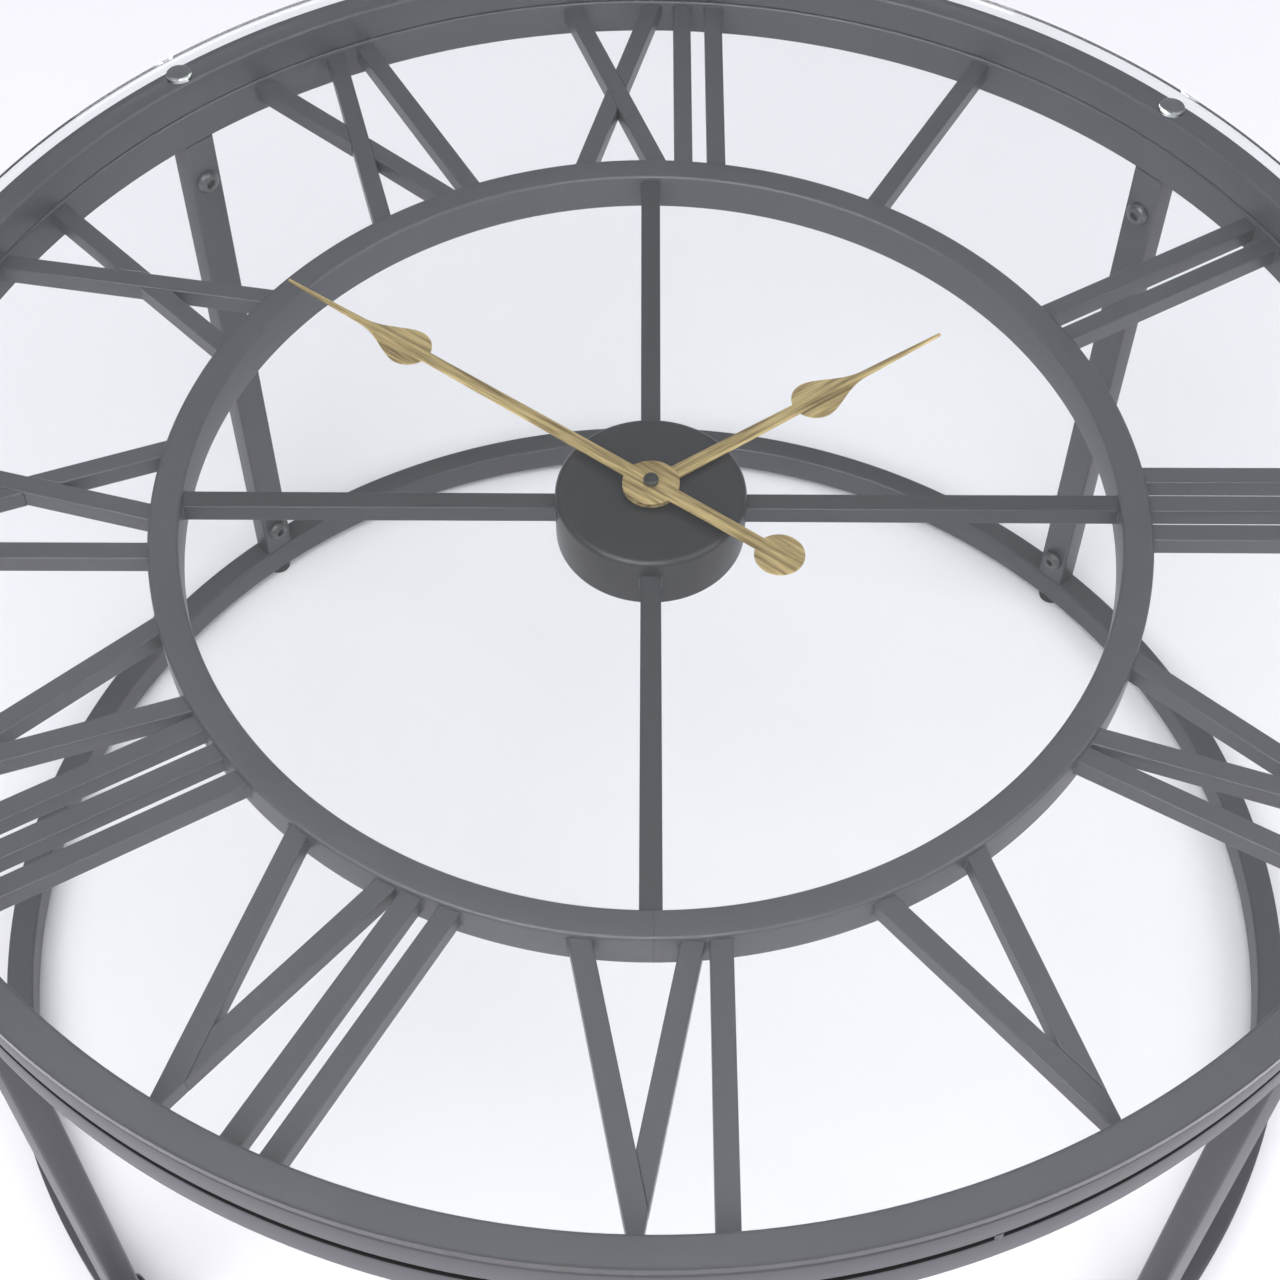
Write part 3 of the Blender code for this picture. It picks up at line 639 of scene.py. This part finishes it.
def softened(name, mesh, corner, material):
    """The mesh as a piece whose sharp edges are rounded."""
    piece = link_mesh(name, mesh)
    mesh.materials.append(material)
    edges = piece.modifiers.new("rounded_edges", "BEVEL")
    edges.width = corner
    edges.segments = 3
    edges.limit_method = "ANGLE"
    edges.angle_limit = math.radians(30)
    edges.harden_normals = False
    mesh.shade_smooth()
    mesh.set_sharp_from_angle(angle=math.radians(40))
    return piece


WELD_SINK = 0.0011
END_REACH = 0.0016
inner_face = rim_radius - RIM_WIDTH
weld_lines = []


def sink_ends(mesh, faces_at):
    """Pushes a bar's ends into the pieces they meet, and notes the upright edges where welds run."""
    for vertex in mesh.vertices:
        reach = math.hypot(vertex.co.x, vertex.co.y)
        for radius, direction in faces_at:
            if abs(reach - radius) < END_REACH:
                welded = (vertex.co.x * radius / reach, vertex.co.y * radius / reach, vertex.co.z)
                weld_lines.append(welded)
                share = (radius + direction * WELD_SINK) / reach
                vertex.co.x *= share
                vertex.co.y *= share


NUMERALS = ("XII", "I", "II", "III", "IV", "V", "VI", "VII", "VIII", "IX", "X", "XI")
JOINT_GAP = 0.00012


def corners_of(mesh, azimuth):
    """The corners of a bar's top face as (across, outwards), seen from the hub at that azimuth."""
    turn = math.radians(azimuth)
    top = max(vertex.co.z for vertex in mesh.vertices)
    found = [v.co for v in mesh.vertices if v.co.z > top - 0.0001]
    right, out = math.cos(turn), math.sin(turn)
    return [Vector((c.x * right - c.y * out, c.x * out + c.y * right)) for c in found]


def at_ring(corners, radius):
    return sorted((c for c in corners if abs(c.length - radius) < END_REACH), key=lambda c: c.x)


def meeting(a, b, c, d):
    """Where the line through a and b crosses the line through c and d."""
    along, other = b - a, d - c
    return a + along * ((c - a).cross(other) / along.cross(other))


def sunk_foot(corner):
    return corner * ((inner_ring_radius - WELD_SINK) / corner.length)


def sunk_head(corner):
    return corner * ((inner_face + WELD_SINK) / corner.length)


def v_bars(corners):
    """One arm runs through to the tip, and the other is cut to butt against its side."""
    left_foot, left_inner, right_inner, right_foot = at_ring(corners, inner_ring_radius)
    left_tip, right_tip = at_ring(corners, inner_face)
    crotch = min(corners, key=lambda c: abs(c.length - (inner_ring_radius + inner_face) / 2))
    step = meeting(right_inner, crotch, left_foot, left_tip)
    side = (crotch - right_inner).normalized()
    clear = Vector((-side.y, side.x)) * JOINT_GAP
    through = [sunk_foot(right_foot), sunk_head(right_tip), sunk_head(left_tip), step]
    through.append(sunk_foot(right_inner))
    return [through, [sunk_foot(left_foot), step + clear, crotch + clear, sunk_foot(left_inner)]]


def x_bars(corners, through_leans_right):
    """One bar runs through, and the other is two halves cut to butt against its sides."""
    feet, heads = at_ring(corners, inner_ring_radius), at_ring(corners, inner_face)
    rising, falling = (feet[:2], heads[2:]), (feet[2:], heads[:2])
    through, cut = (rising, falling) if through_leans_right else (falling, rising)
    left_side, right_side = zip(*through)
    near, far = (right_side, left_side) if through_leans_right else (left_side, right_side)
    (foot_a, foot_b), (head_a, head_b) = through
    bars = [[sunk_foot(foot_a), sunk_head(head_a), sunk_head(head_b), sunk_foot(foot_b)]]
    for ends, edge, sink in ((cut[0], near, sunk_foot), (cut[1], far, sunk_head)):
        met = [meeting(*edge, foot, head) for foot, head in zip(*cut)]
        away = (ends[0] + ends[1] - met[0] - met[1]).normalized() * 2 * JOINT_GAP
        bars.append([sink(ends[0]), met[0] + away, met[1] + away, sink(ends[1])])
    return bars


def bars_mesh(name, bars, azimuth, low, high):
    """Upright prisms over the bars' outlines, as one mesh of separate bars."""
    shape = bmesh.new()
    for outline in bars:
        loop = [shape.verts.new((corner.x, corner.y, low)) for corner in outline]
        face = shape.faces.new(loop)
        lifted = bmesh.ops.extrude_face_region(shape, geom=[face])["geom"]
        verts = [item for item in lifted if isinstance(item, bmesh.types.BMVert)]
        bmesh.ops.translate(shape, vec=(0.0, 0.0, high - low), verts=verts)
    shape.transform(Matrix.Rotation(-math.radians(azimuth), 4, "Z"))
    bmesh.ops.recalc_face_normals(shape, faces=shape.faces)
    return mesh_of(name, shape)


for node in sorted(named("numeral_")):
    bar_mesh = merged_copy(node, node + "_bar")
    numeral, glyph = node.split("_")[1:3]
    azimuth = 30.0 * NUMERALS.index(numeral)
    corners = corners_of(bar_mesh, azimuth)
    sink_ends(bar_mesh, ((inner_ring_radius, -1), (inner_face, 1)))
    if glyph in ("V", "X"):
        levels = [vertex.co.z for vertex in bar_mesh.vertices]
        bars = v_bars(corners) if glyph == "V" else x_bars(corners, numeral in ("IX", "XI"))
        bar_mesh = bars_mesh(node + "_bar", bars, azimuth, min(levels), max(levels))
    bar = softened(node + "_bar", bar_mesh, BAR_CORNER, GUNMETAL)
    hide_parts(node)
    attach(bar, "frame")


# ---- Hub ----
# A shallow drum pressed from sheet steel, painted with the frame, open below. Its rolled top edge
# catches the light. The movement hangs inside it, and the hands stand over it.
hub_low, hub_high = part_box("hub_drum")
hub_radius = hub_high[0]
HUB_ROUNDING = 0.0034
HUB_SKIN = 0.0015
HUB_HOLE = 0.0043

hub_top = hub_high[2] - 0.0001
hub_profile = [(HUB_HOLE, hub_top), (hub_radius * 0.5, hub_top)]
hub_profile += [(hub_radius - HUB_ROUNDING - 0.0040, hub_top)]
hub_profile += quarter((hub_radius - HUB_ROUNDING, hub_high[2] - HUB_ROUNDING), HUB_ROUNDING, 90, 0, 8)
hub_profile += [(hub_radius, hub_low[2] + 0.0004), (hub_radius - 0.0004, hub_low[2])]
hub_profile += [(hub_radius - HUB_SKIN, hub_low[2])]
hub_inner = (hub_radius - HUB_ROUNDING, hub_high[2] - HUB_ROUNDING)
hub_profile += quarter(hub_inner, HUB_ROUNDING - HUB_SKIN, 0, 90, 4)
hub_profile += [(HUB_HOLE, hub_high[2] - HUB_SKIN)]
hub = turned("hub_drum_shell", hub_profile, 160)
HUB_COAT = coated_metal("hub_powder_coat", (0.021, 0.0205, 0.024), (0.034, 0.0335, 0.0385), 0.30, 0.3)
hub.data.materials.append(HUB_COAT)
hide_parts("hub_drum")
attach(hub, "frame")


# ---- Crossbars ----
# Four lengths of the numerals' square bar that carry the hub from the inner ring, welded at both
# ends. Their coat is a shade darker, towards the hub's.
CROSSBAR_COAT = coated_metal(
    "crossbar_powder_coat", (0.038, 0.0382, 0.0447), (0.054, 0.0542, 0.0624), 0.38, 0.3
)
for node in sorted(named("crossbar_")):
    bar_mesh = merged_copy(node, node + "_bar")
    sink_ends(bar_mesh, ((hub_radius, -1), (inner_ring_radius - INNER_RING_WIDTH, 1)))
    bar = softened(node + "_bar", bar_mesh, BAR_CORNER, CROSSBAR_COAT)
    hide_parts(node)
    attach(bar, "frame")


# ---- Weld beads ----
# Small beads of weld up both sides of each bar where it meets a ring or the hub, rough from the
# torch and painted over.
WELD_RADIUS = 0.0006

bead_tree, bead_in, bead_end = geometry_tree(
    "weld_beads",
    [("Lines", "Object"), ("Bead Radius", "Float")],
)
bead_lines = add_node(bead_tree, "GeometryNodeObjectInfo")
bead_curve = add_node(bead_tree, "GeometryNodeMeshToCurve")
bead_points = add_node(bead_tree, "GeometryNodeResampleCurve", {"Length": 0.0008}, mode="LENGTH")
bead_noise = add_node(bead_tree, "ShaderNodeTexNoise", {"Scale": 650.0})
bead_swell = add_node(bead_tree, "ShaderNodeMath", {1: 1.1, 2: 0.45}, operation="MULTIPLY_ADD")
bead_radius = add_node(bead_tree, "ShaderNodeMath", operation="MULTIPLY")
bead_set = add_node(bead_tree, "GeometryNodeSetCurveRadius")
bead_round = add_node(
    bead_tree,
    "GeometryNodeCurvePrimitiveCircle",
    {"Resolution": 8, "Radius": 1.0},
    mode="RADIUS",
)
bead_sweep = add_node(bead_tree, "GeometryNodeCurveToMesh", {"Fill Caps": True})
wire(
    bead_tree,
    (bead_in, "Lines", bead_lines, "Object"),
    (bead_lines, "Geometry", bead_curve, "Mesh"),
    (bead_curve, 0, bead_points, "Curve"),
    (bead_noise, "Fac", bead_swell, 0),
    (bead_swell, 0, bead_radius, 0),
    (bead_in, "Bead Radius", bead_radius, 1),
    (bead_points, 0, bead_set, "Curve"),
    (bead_radius, 0, bead_set, "Radius"),
    (bead_set, 0, bead_sweep, "Curve"),
    (bead_round, 0, bead_sweep, "Profile Curve"),
    (bead_radius, 0, bead_sweep, "Scale"),
    (bead_sweep, 0, bead_end, 0),
)


def weld_beads(name, lines, radius):
    """Beads of weld along straight lines, each given by its two ends."""
    mesh = bpy.data.meshes.new(name + "_lines")
    points = [point for line in lines for point in line]
    mesh.from_pydata(points, [(i, i + 1) for i in range(0, len(points), 2)], [])
    guide = link_mesh(name + "_lines", mesh)
    beads = grow(name, bead_tree, {"Lines": guide, "Bead Radius": radius, "Material": GUNMETAL})
    bpy.data.objects.remove(guide)
    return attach(beads, "frame")


upright_lines = {}
for x, y, z in weld_lines:
    upright_lines.setdefault((round(x, 4), round(y, 4)), []).append(z)
weld_ends = []
for (x, y), levels in sorted(upright_lines.items()):
    weld_ends.append(((x, y, min(levels) + 0.0006), (x, y, max(levels) - 0.0006)))
weld_beads("bar_welds", weld_ends, WELD_RADIUS)

# The inner ring's closing weld, over its top and down its outer face on the VI side.
ring_low, ring_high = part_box("dial_inner_ring")
CLOSING_ACROSS, CLOSING_RADIUS = 0.0012, 0.0004
closing_path = [(INNER_RING_WIDTH - 0.002, ring_high[2] - 0.0001), (0.0017, ring_high[2] - 0.0001)]
closing_path += [(0.0001, ring_high[2] - TUBE_CORNER), (0.0001, ring_low[2] + TUBE_CORNER)]
closing = [(CLOSING_ACROSS, inward - inner_ring_radius, height) for inward, height in closing_path]
weld_beads("ring_closing_weld", list(zip(closing, closing[1:])), CLOSING_RADIUS)


# ---- Movement ----
# A black quartz movement held in the drum by its threaded bush and a brass nut. Its AA cell lies in
# a bay on the underside, beside the wheel that sets the hands.
MOULDED_BLACK = coated_metal(
    "moulded_black", (0.016, 0.016, 0.018), (0.026, 0.026, 0.028), 0.42, 0.0, bump=0.18
)
case_mesh = merged_copy("movement_case", "movement_case_shell")
case = softened("movement_case_shell", case_mesh, 0.0006, MOULDED_BLACK)
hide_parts("movement_case")
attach(case, "frame")

cell_low, cell_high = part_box("battery")
cell_radius = (cell_high[2] - cell_low[2]) / 2
cell_length = cell_high[0] - cell_low[0]
cell_profile = [(0.0, cell_length), (0.0024, cell_length), (0.0027, cell_length - 0.0003)]
cell_profile += [(0.0027, cell_length - 0.0010), (cell_radius - 0.0009, cell_length - 0.0011)]
cell_profile += quarter((cell_radius - 0.0006, cell_length - 0.0017), 0.0006, 90, 0, 3)
cell_profile += quarter((cell_radius - 0.0006, 0.0006), 0.0006, 0, -90, 3) + [(0.0, 0.0)]
cell = turned("battery_cell", cell_profile, 48)
cell.data.transform(Matrix.Rotation(math.pi / 2, 4, "Y"))
cell_axis = [(low + high) / 2 for low, high in zip(cell_low, cell_high)]
cell.data.transform(Matrix.Translation((cell_low[0], cell_axis[1], cell_axis[2])))
CELL_SLEEVE = coated_metal("cell_sleeve", (0.035, 0.05, 0.085), (0.05, 0.07, 0.115), 0.22, 0.1, bump=0.03)
cell.data.materials.append(CELL_SLEEVE)
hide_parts("battery")
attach(cell, "frame")

knob = softened("setting_wheel", merged_copy("setting_knob", "setting_wheel"), 0.0005, MOULDED_BLACK)
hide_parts("setting_knob")
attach(knob, "setting_knob_body")


# ---- Hands ----
# Cut from 1.2 mm brass sheet, with a shallow crease pressed along the middle, then brushed
# lengthways and darkened so that the brushing stays in the grain. The minute hand carries a round
# counterweight.
streak_tree, streak_in, streak_out = shader_group(
    "brushed_streaks",
    [
        ("Vector", "Vector"),
        ("Bright", "Color", (0.66, 0.50, 0.24, 1.0)),
        ("Dark", "Color", (0.22, 0.15, 0.06, 1.0)),
        ("Roughness", "Float", 0.36),
    ],
    [("Color", "Color"), ("Roughness", "Float"), ("Height", "Float")],
)
streak_wide = add_node(streak_tree, "ShaderNodeMapping", {"Scale": (420.0, 22.0, 60.0)})
streak_fine = add_node(streak_tree, "ShaderNodeMapping", {"Scale": (1900.0, 45.0, 200.0)})
streak_noise = add_node(
    streak_tree,
    "ShaderNodeTexNoise",
    {"Scale": 1.0, "Detail": 4.0, "Roughness": 0.65},
)
streak_hair = add_node(streak_tree, "ShaderNodeTexNoise", {"Scale": 1.0, "Detail": 2.0})
streak_ramp = add_node(streak_tree, "ShaderNodeMapRange", {"From Min": 0.40, "From Max": 0.66})
streak_mix = add_node(streak_tree, "ShaderNodeMix", data_type="RGBA")
streak_hair_mix = add_node(
    streak_tree,
    "ShaderNodeMix",
    {0: 0.45},
    data_type="RGBA",
    blend_type="OVERLAY",
)
streak_rough = add_node(streak_tree, "ShaderNodeMath", {1: 0.22}, operation="MULTIPLY_ADD")
wire(
    streak_tree,
    (streak_in, "Vector", streak_wide, "Vector"),
    (streak_in, "Vector", streak_fine, "Vector"),
    (streak_wide, 0, streak_noise, "Vector"),
    (streak_fine, 0, streak_hair, "Vector"),
    (streak_noise, "Fac", streak_ramp, "Value"),
    (streak_ramp, 0, streak_mix, 0),
    (streak_in, "Bright", streak_mix, 6),
    (streak_in, "Dark", streak_mix, 7),
    (streak_mix, 2, streak_hair_mix, 6),
    (streak_hair, "Fac", streak_hair_mix, 7),
    (streak_hair_mix, 2, streak_out, "Color"),
    (streak_noise, "Fac", streak_rough, 0),
    (streak_in, "Roughness", streak_rough, 2),
    (streak_rough, 0, streak_out, "Roughness"),
    (streak_hair, "Fac", streak_out, "Height"),
)


def brushed_brass(name, azimuth, roughness=0.30):
    """Antique brass brushed along the hand, whose azimuth the grain is turned to."""
    finish, tree, shader = new_finish(name, {"Metallic": 0.75})
    place = add_node(tree, "ShaderNodeTexCoord")
    turn = add_node(tree, "ShaderNodeMapping", {"Rotation": (0.0, 0.0, math.radians(azimuth))})
    streaks = add_node(tree, "ShaderNodeGroup", {"Roughness": roughness}, node_tree=streak_tree)
    grain = add_node(tree, "ShaderNodeBump", {"Strength": 0.15, "Distance": 0.0001})
    wire(
        tree,
        (place, "Object", turn, "Vector"),
        (turn, 0, streaks, "Vector"),
        (streaks, "Color", shader, "Base Color"),
        (streaks, "Roughness", shader, "Roughness"),
        (streaks, "Height", grain, "Height"),
        (grain, "Normal", shader, "Normal"),
    )
    return finish


CREASE = 0.00030
CREASE_REACH = 0.004
HAND_ARRIS = 0.00018
HAND_SHARP = 28.0
BOSS_RADIUS, DROP_RADIUS, WEIGHT_RADIUS = 0.0140, 0.0120, 0.0122
STEM_ROOT, STEM_END, NEEDLE_ROOT, NEEDLE_END = 0.0042, 0.0032, 0.0019, 0.0007


def hand_rounds(drop, weight):
    """The hand's round parts as (place along it, radius): boss, teardrop and counterweight."""
    rounds = [(0.0, BOSS_RADIUS), (drop, DROP_RADIUS)]
    return rounds + [(-weight, WEIGHT_RADIUS)] if weight else rounds


def hand_half_width(reach, tip, drop, needle, weight):
    """Half the hand's width at a distance from its axis, with its boss, teardrop, needle and weight."""
    if reach >= needle:
        share = (reach - needle) / (tip - needle)
        return NEEDLE_ROOT + (NEEDLE_END - NEEDLE_ROOT) * share
    if reach > drop:
        share = (reach - drop) / (needle - drop)
        return NEEDLE_ROOT + (DROP_RADIUS - NEEDLE_ROOT) * (1 + math.cos(math.pi * share**0.85)) / 2
    width = STEM_ROOT + (STEM_END - STEM_ROOT) * abs(reach) / drop
    if reach < (-weight if weight else 0.0):
        width = 0.0
    for middle, radius in hand_rounds(drop, weight):
        if abs(reach - middle) < radius:
            width = max(width, math.sqrt(radius**2 - (reach - middle) ** 2))
    return width


def pressed_hand(name, node, azimuth, tip, drop, needle, weight, low, thickness, material):
    """A hand as a lengthways row of cross-sections, high along its middle and thinner at its edges."""
    start = -weight - WEIGHT_RADIUS if weight else -BOSS_RADIUS
    reaches = []
    for middle, radius in hand_rounds(drop, weight):
        reaches += [middle - radius * math.cos(math.radians(angle)) for angle in range(0, 181, 6)]
    reaches += [drop + (needle - drop) * i / 24 for i in range(25)]
    reaches += [tip * i / 60 for i in range(61)] + [start + 0.00002]
    reaches = sorted({round(r, 5) for r in reaches if start < r <= tip})
    reaches = [reaches[0]] + [b for a, b in zip(reaches, reaches[1:]) if b - a > 0.00015]
    shape = bmesh.new()
    rows = []
    for reach in reaches:
        half = max(hand_half_width(reach, tip, drop, needle, weight), 0.0003)
        row = []
        for across in (-1.0, -0.72, -0.36, 0.0, 0.36, 0.72, 1.0):
            fall = CREASE * min(1.0, abs(across) * half / CREASE_REACH)
            edge = HAND_ARRIS if abs(across) == 1.0 else 0.0
            row.append(shape.verts.new((across * half, reach, low + thickness - fall - edge)))
        for across in (1.0, -1.0):
            row.append(shape.verts.new((across * half, reach, low)))
        rows.append(row)
    for near, far in zip(rows, rows[1:]):
        for i in range(len(near)):
            k = (i + 1) % len(near)
            shape.faces.new((near[i], near[k], far[k], far[i]))
    shape.faces.new(rows[0])
    shape.faces.new(list(reversed(rows[-1])))
    shape.transform(Matrix.Rotation(-math.radians(azimuth), 4, "Z"))
    mesh = mesh_of(name, shape)
    tidy_normals(mesh, HAND_SHARP)
    mesh.materials.append(material)
    hand = link_mesh(name, mesh)
    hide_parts(node)
    return hand


HOUR_AZIMUTH, MINUTE_AZIMUTH = 55.5, 306.0
minute_low, minute_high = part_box("minute_hand")
hour_low, hour_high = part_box("hour_hand")
HAND_THICKNESS = minute_high[2] - minute_low[2]
minute_hand = pressed_hand(
    "minute_hand_brass",
    "minute_hand",
    MINUTE_AZIMUTH,
    tip=0.2339,
    drop=0.153,
    needle=0.185,
    weight=0.0755,
    low=minute_low[2],
    thickness=HAND_THICKNESS,
    material=brushed_brass("brass_minute_hand", MINUTE_AZIMUTH),
)
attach(minute_hand, "minute_group")
hour_hand = pressed_hand(
    "hour_hand_brass",
    "hour_hand",
    HOUR_AZIMUTH,
    tip=0.1834,
    drop=0.100,
    needle=0.132,
    weight=0.0,
    low=hour_high[2] - HAND_THICKNESS,
    thickness=HAND_THICKNESS,
    material=brushed_brass("brass_hour_hand", HOUR_AZIMUTH),
)
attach(hour_hand, "hour_group")


# ---- Centre fixings ----
# A thin brass hexagon nut clamps the movement's bush to the drum. The hour hand's tube turns in the
# bush, the steel arbor turns in the tube, and a black cap nut holds the minute hand on.
BRASS_PLAIN = brushed_brass("brass_fixings", 20.0, 0.26)
nut = softened("fixing_nut_hex", merged_copy("fixing_nut", "fixing_nut_hex"), 0.0003, BRASS_PLAIN)
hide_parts("fixing_nut")
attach(nut, "frame")

TUBE_BORE, TUBE_RADIUS, ARBOR_RADIUS = 0.0019, 0.0027, 0.0015
tube_top = hour_high[2] - 0.0002
tube_profile = [(TUBE_BORE, tube_top), (TUBE_RADIUS, tube_top)]
tube_profile += [(TUBE_RADIUS, hour_low[2]), (TUBE_BORE, hour_low[2])]
hour_tube = turned("hour_hand_tube", tube_profile, 32)
hour_tube.data.materials.append(BRASS_PLAIN)
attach(hour_tube, "hour_group")

arbor_low, arbor_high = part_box("minute_arbor")
arbor_profile = [(0.0, arbor_high[2]), (0.0012, arbor_high[2]), (ARBOR_RADIUS, arbor_high[2] - 0.0003)]
arbor_profile += [(ARBOR_RADIUS, arbor_low[2]), (0.0, arbor_low[2])]
arbor = turned("minute_arbor_steel", arbor_profile, 32)
STEEL = coated_metal("turned_steel", (0.32, 0.32, 0.33), (0.42, 0.42, 0.43), 0.30, 1.0)
arbor.data.materials.append(STEEL)
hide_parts("minute_arbor")
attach(arbor, "minute_group")

cap_low, cap_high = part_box("hand_nut")
cap_radius = cap_high[0]
CAP_BORE, CAP_ROUNDING = 0.0019, 0.0009
cap_profile = [(0.0, cap_high[2] - 0.0005), (0.0011, cap_high[2] - 0.0005), (0.0013, cap_high[2] - 0.0001)]
cap_profile.append((0.0023, cap_high[2]))
cap_profile += quarter((cap_radius - CAP_ROUNDING, cap_high[2] - CAP_ROUNDING), CAP_ROUNDING, 80, 0, 4)
cap_profile += [(cap_radius, cap_low[2]), (CAP_BORE, cap_low[2])]
cap_profile += [(CAP_BORE, cap_high[2] - CAP_ROUNDING), (0.0, cap_high[2] - CAP_ROUNDING)]
cap = turned("hand_nut_cap", cap_profile, 48)
cap.data.materials.append(MOULDED_BLACK)
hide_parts("hand_nut")
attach(cap, "minute_group")


# ---- Top ring ----
# A second hoop stacked on the dial's outer ring and tacked to it. A near-black strip set in the groove
# between them is painted shade: it draws the shadowed gap as a black line round the outside. The ring
# lifts the glass clear of the hands.
rolled_hoop("top_ring", rim_radius, RIM_WIDTH, seam_side=-1.0)
seam_height = (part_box("top_ring")[0][2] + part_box("dial_outer_ring")[1][2]) / 2
# Near-black matte strip with its gloss turned down: painted shade for the groove between the two rings.
SEAM_SHADE_PAINT = coated_metal(
    "painted_seam_shade", (0.003, 0.003, 0.0032), (0.006, 0.006, 0.0064), 0.9, 0.0, bump=0.1
)
preset(SEAM_SHADE_PAINT.node_tree.nodes["Principled BSDF"], {"Specular IOR Level": 0.08})
STRIP_SETBACK, STRIP_WIDTH, STRIP_HEIGHT = 0.0003, 0.004, 0.0056
strip_values = {
    "Radius": rim_radius - STRIP_SETBACK - STRIP_WIDTH / 2,
    "Tube Width": STRIP_WIDTH,
    "Tube Height": STRIP_HEIGHT,
    "Corner Radius": 0.0004,
    "Middle Height": seam_height,
    "Segments": RING_SEGMENTS,
    "Material": SEAM_SHADE_PAINT,
}
seam_strip = grow("seam_strip", hoop_tree, strip_values)
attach(seam_strip, "frame")

TACK_AZIMUTHS = (160.0, 40.0, 280.0)
TACK_RADIUS, TACK_SINK, TACK_REACH = 0.0014, 0.0012, 0.0024
tack_ends = []
for azimuth in TACK_AZIMUTHS:
    for step in (-0.0011, 0.0, 0.0011):
        angle = math.radians(azimuth) + step / rim_radius
        reach = rim_radius - TACK_SINK
        foot = (reach * math.sin(angle), reach * math.cos(angle))
        tack_ends.append([(*foot, seam_height - TACK_REACH), (*foot, seam_height + TACK_REACH)])
weld_beads("rim_tacks", tack_ends, TACK_RADIUS)


# ---- Glass bumpers ----
# Clear domed vinyl discs stuck on the top ring over the legs. The glass rests on them.
def clear_material(name, tint_dark, tint_light, roughness, ior):
    """Clear glass or vinyl with a breath of wiping marks in its gloss. Lamps shine through it."""
    finish, tree, shader = new_finish(name, {"Transmission Weight": 1.0, "IOR": ior})
    place = add_node(tree, "ShaderNodeTexCoord")
    marks = add_node(tree, "ShaderNodeTexNoise", {"Scale": 9.0, "Detail": 5.0})
    gloss = add_node(
        tree,
        "ShaderNodeMapRange",
        {"From Min": 0.35, "From Max": 0.75, "To Min": 0.0, "To Max": roughness},
    )
    tint = add_node(
        tree,
        "ShaderNodeMix",
        {6: (*tint_light, 1.0), 7: (*tint_dark, 1.0)},
        data_type="RGBA",
    )
    rays = add_node(tree, "ShaderNodeLightPath")
    through = add_node(tree, "ShaderNodeBsdfTransparent", {"Color": (*tint_dark, 1.0)})
    choose = add_node(tree, "ShaderNodeMixShader")
    wire(
        tree,
        (place, "Object", marks, "Vector"),
        (marks, "Fac", gloss, "Value"),
        (gloss, 0, shader, "Roughness"),
        (marks, "Fac", tint, 0),
        (tint, 2, shader, "Base Color"),
        (rays, "Is Shadow Ray", choose, 0),
        (shader, 0, choose, 1),
        (through, 0, choose, 2),
        (choose, 0, tree.nodes["Material Output"], "Surface"),
    )
    return finish


VINYL = clear_material("clear_vinyl", (0.93, 0.95, 0.96), (0.97, 0.98, 0.98), 0.04, 1.48)
bumper_low, bumper_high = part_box("glass_bumper_rear_right")
bumper_height = bumper_high[2] - bumper_low[2]
bumper_radius = (bumper_high[0] - bumper_low[0]) / 2
bumper_rim = bumper_height * 0.35
bumper_profile = [(0.0, bumper_height)]
for i in range(1, 9):
    angle = math.radians(90 - 10 * i)
    lift = bumper_rim + (bumper_height - bumper_rim) * math.sin(angle)
    bumper_profile.append((bumper_radius * math.cos(angle), lift))
bumper_profile += [(bumper_radius, bumper_rim), (bumper_radius, 0.0), (0.0, 0.0)]
bumper_one = turned("bumper_one", bumper_profile, 48)
bumpers = one_at_each_leg("glass_bumpers", bumper_one, rim_middle, bumper_low[2], VINYL)
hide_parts(*named("glass_bumper"))
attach(bumpers, "frame")


# ---- Glass top ----
# A disc of 6 mm toughened clear glass, loose on its bumpers, with a ground and polished flat edge
# and a fine arris top and bottom.
ARRIS = 0.0008
glass_low, glass_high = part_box("glass_top")
glass_radius = glass_high[0]
glass_profile = [(0.0, glass_high[2]), (glass_radius - ARRIS, glass_high[2])]
glass_profile += [(glass_radius, glass_high[2] - ARRIS), (glass_radius, glass_low[2] + ARRIS)]
glass_profile += [(glass_radius - ARRIS, glass_low[2]), (0.0, glass_low[2])]
glass = turned("glass_disc", glass_profile, RING_SEGMENTS)
CLEAR_GLASS = clear_material("toughened_glass", (0.95, 0.975, 0.97), (0.985, 0.992, 0.99), 0.012, 1.52)
glass.data.materials.append(CLEAR_GLASS)
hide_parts("glass_top")
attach(glass, "frame")
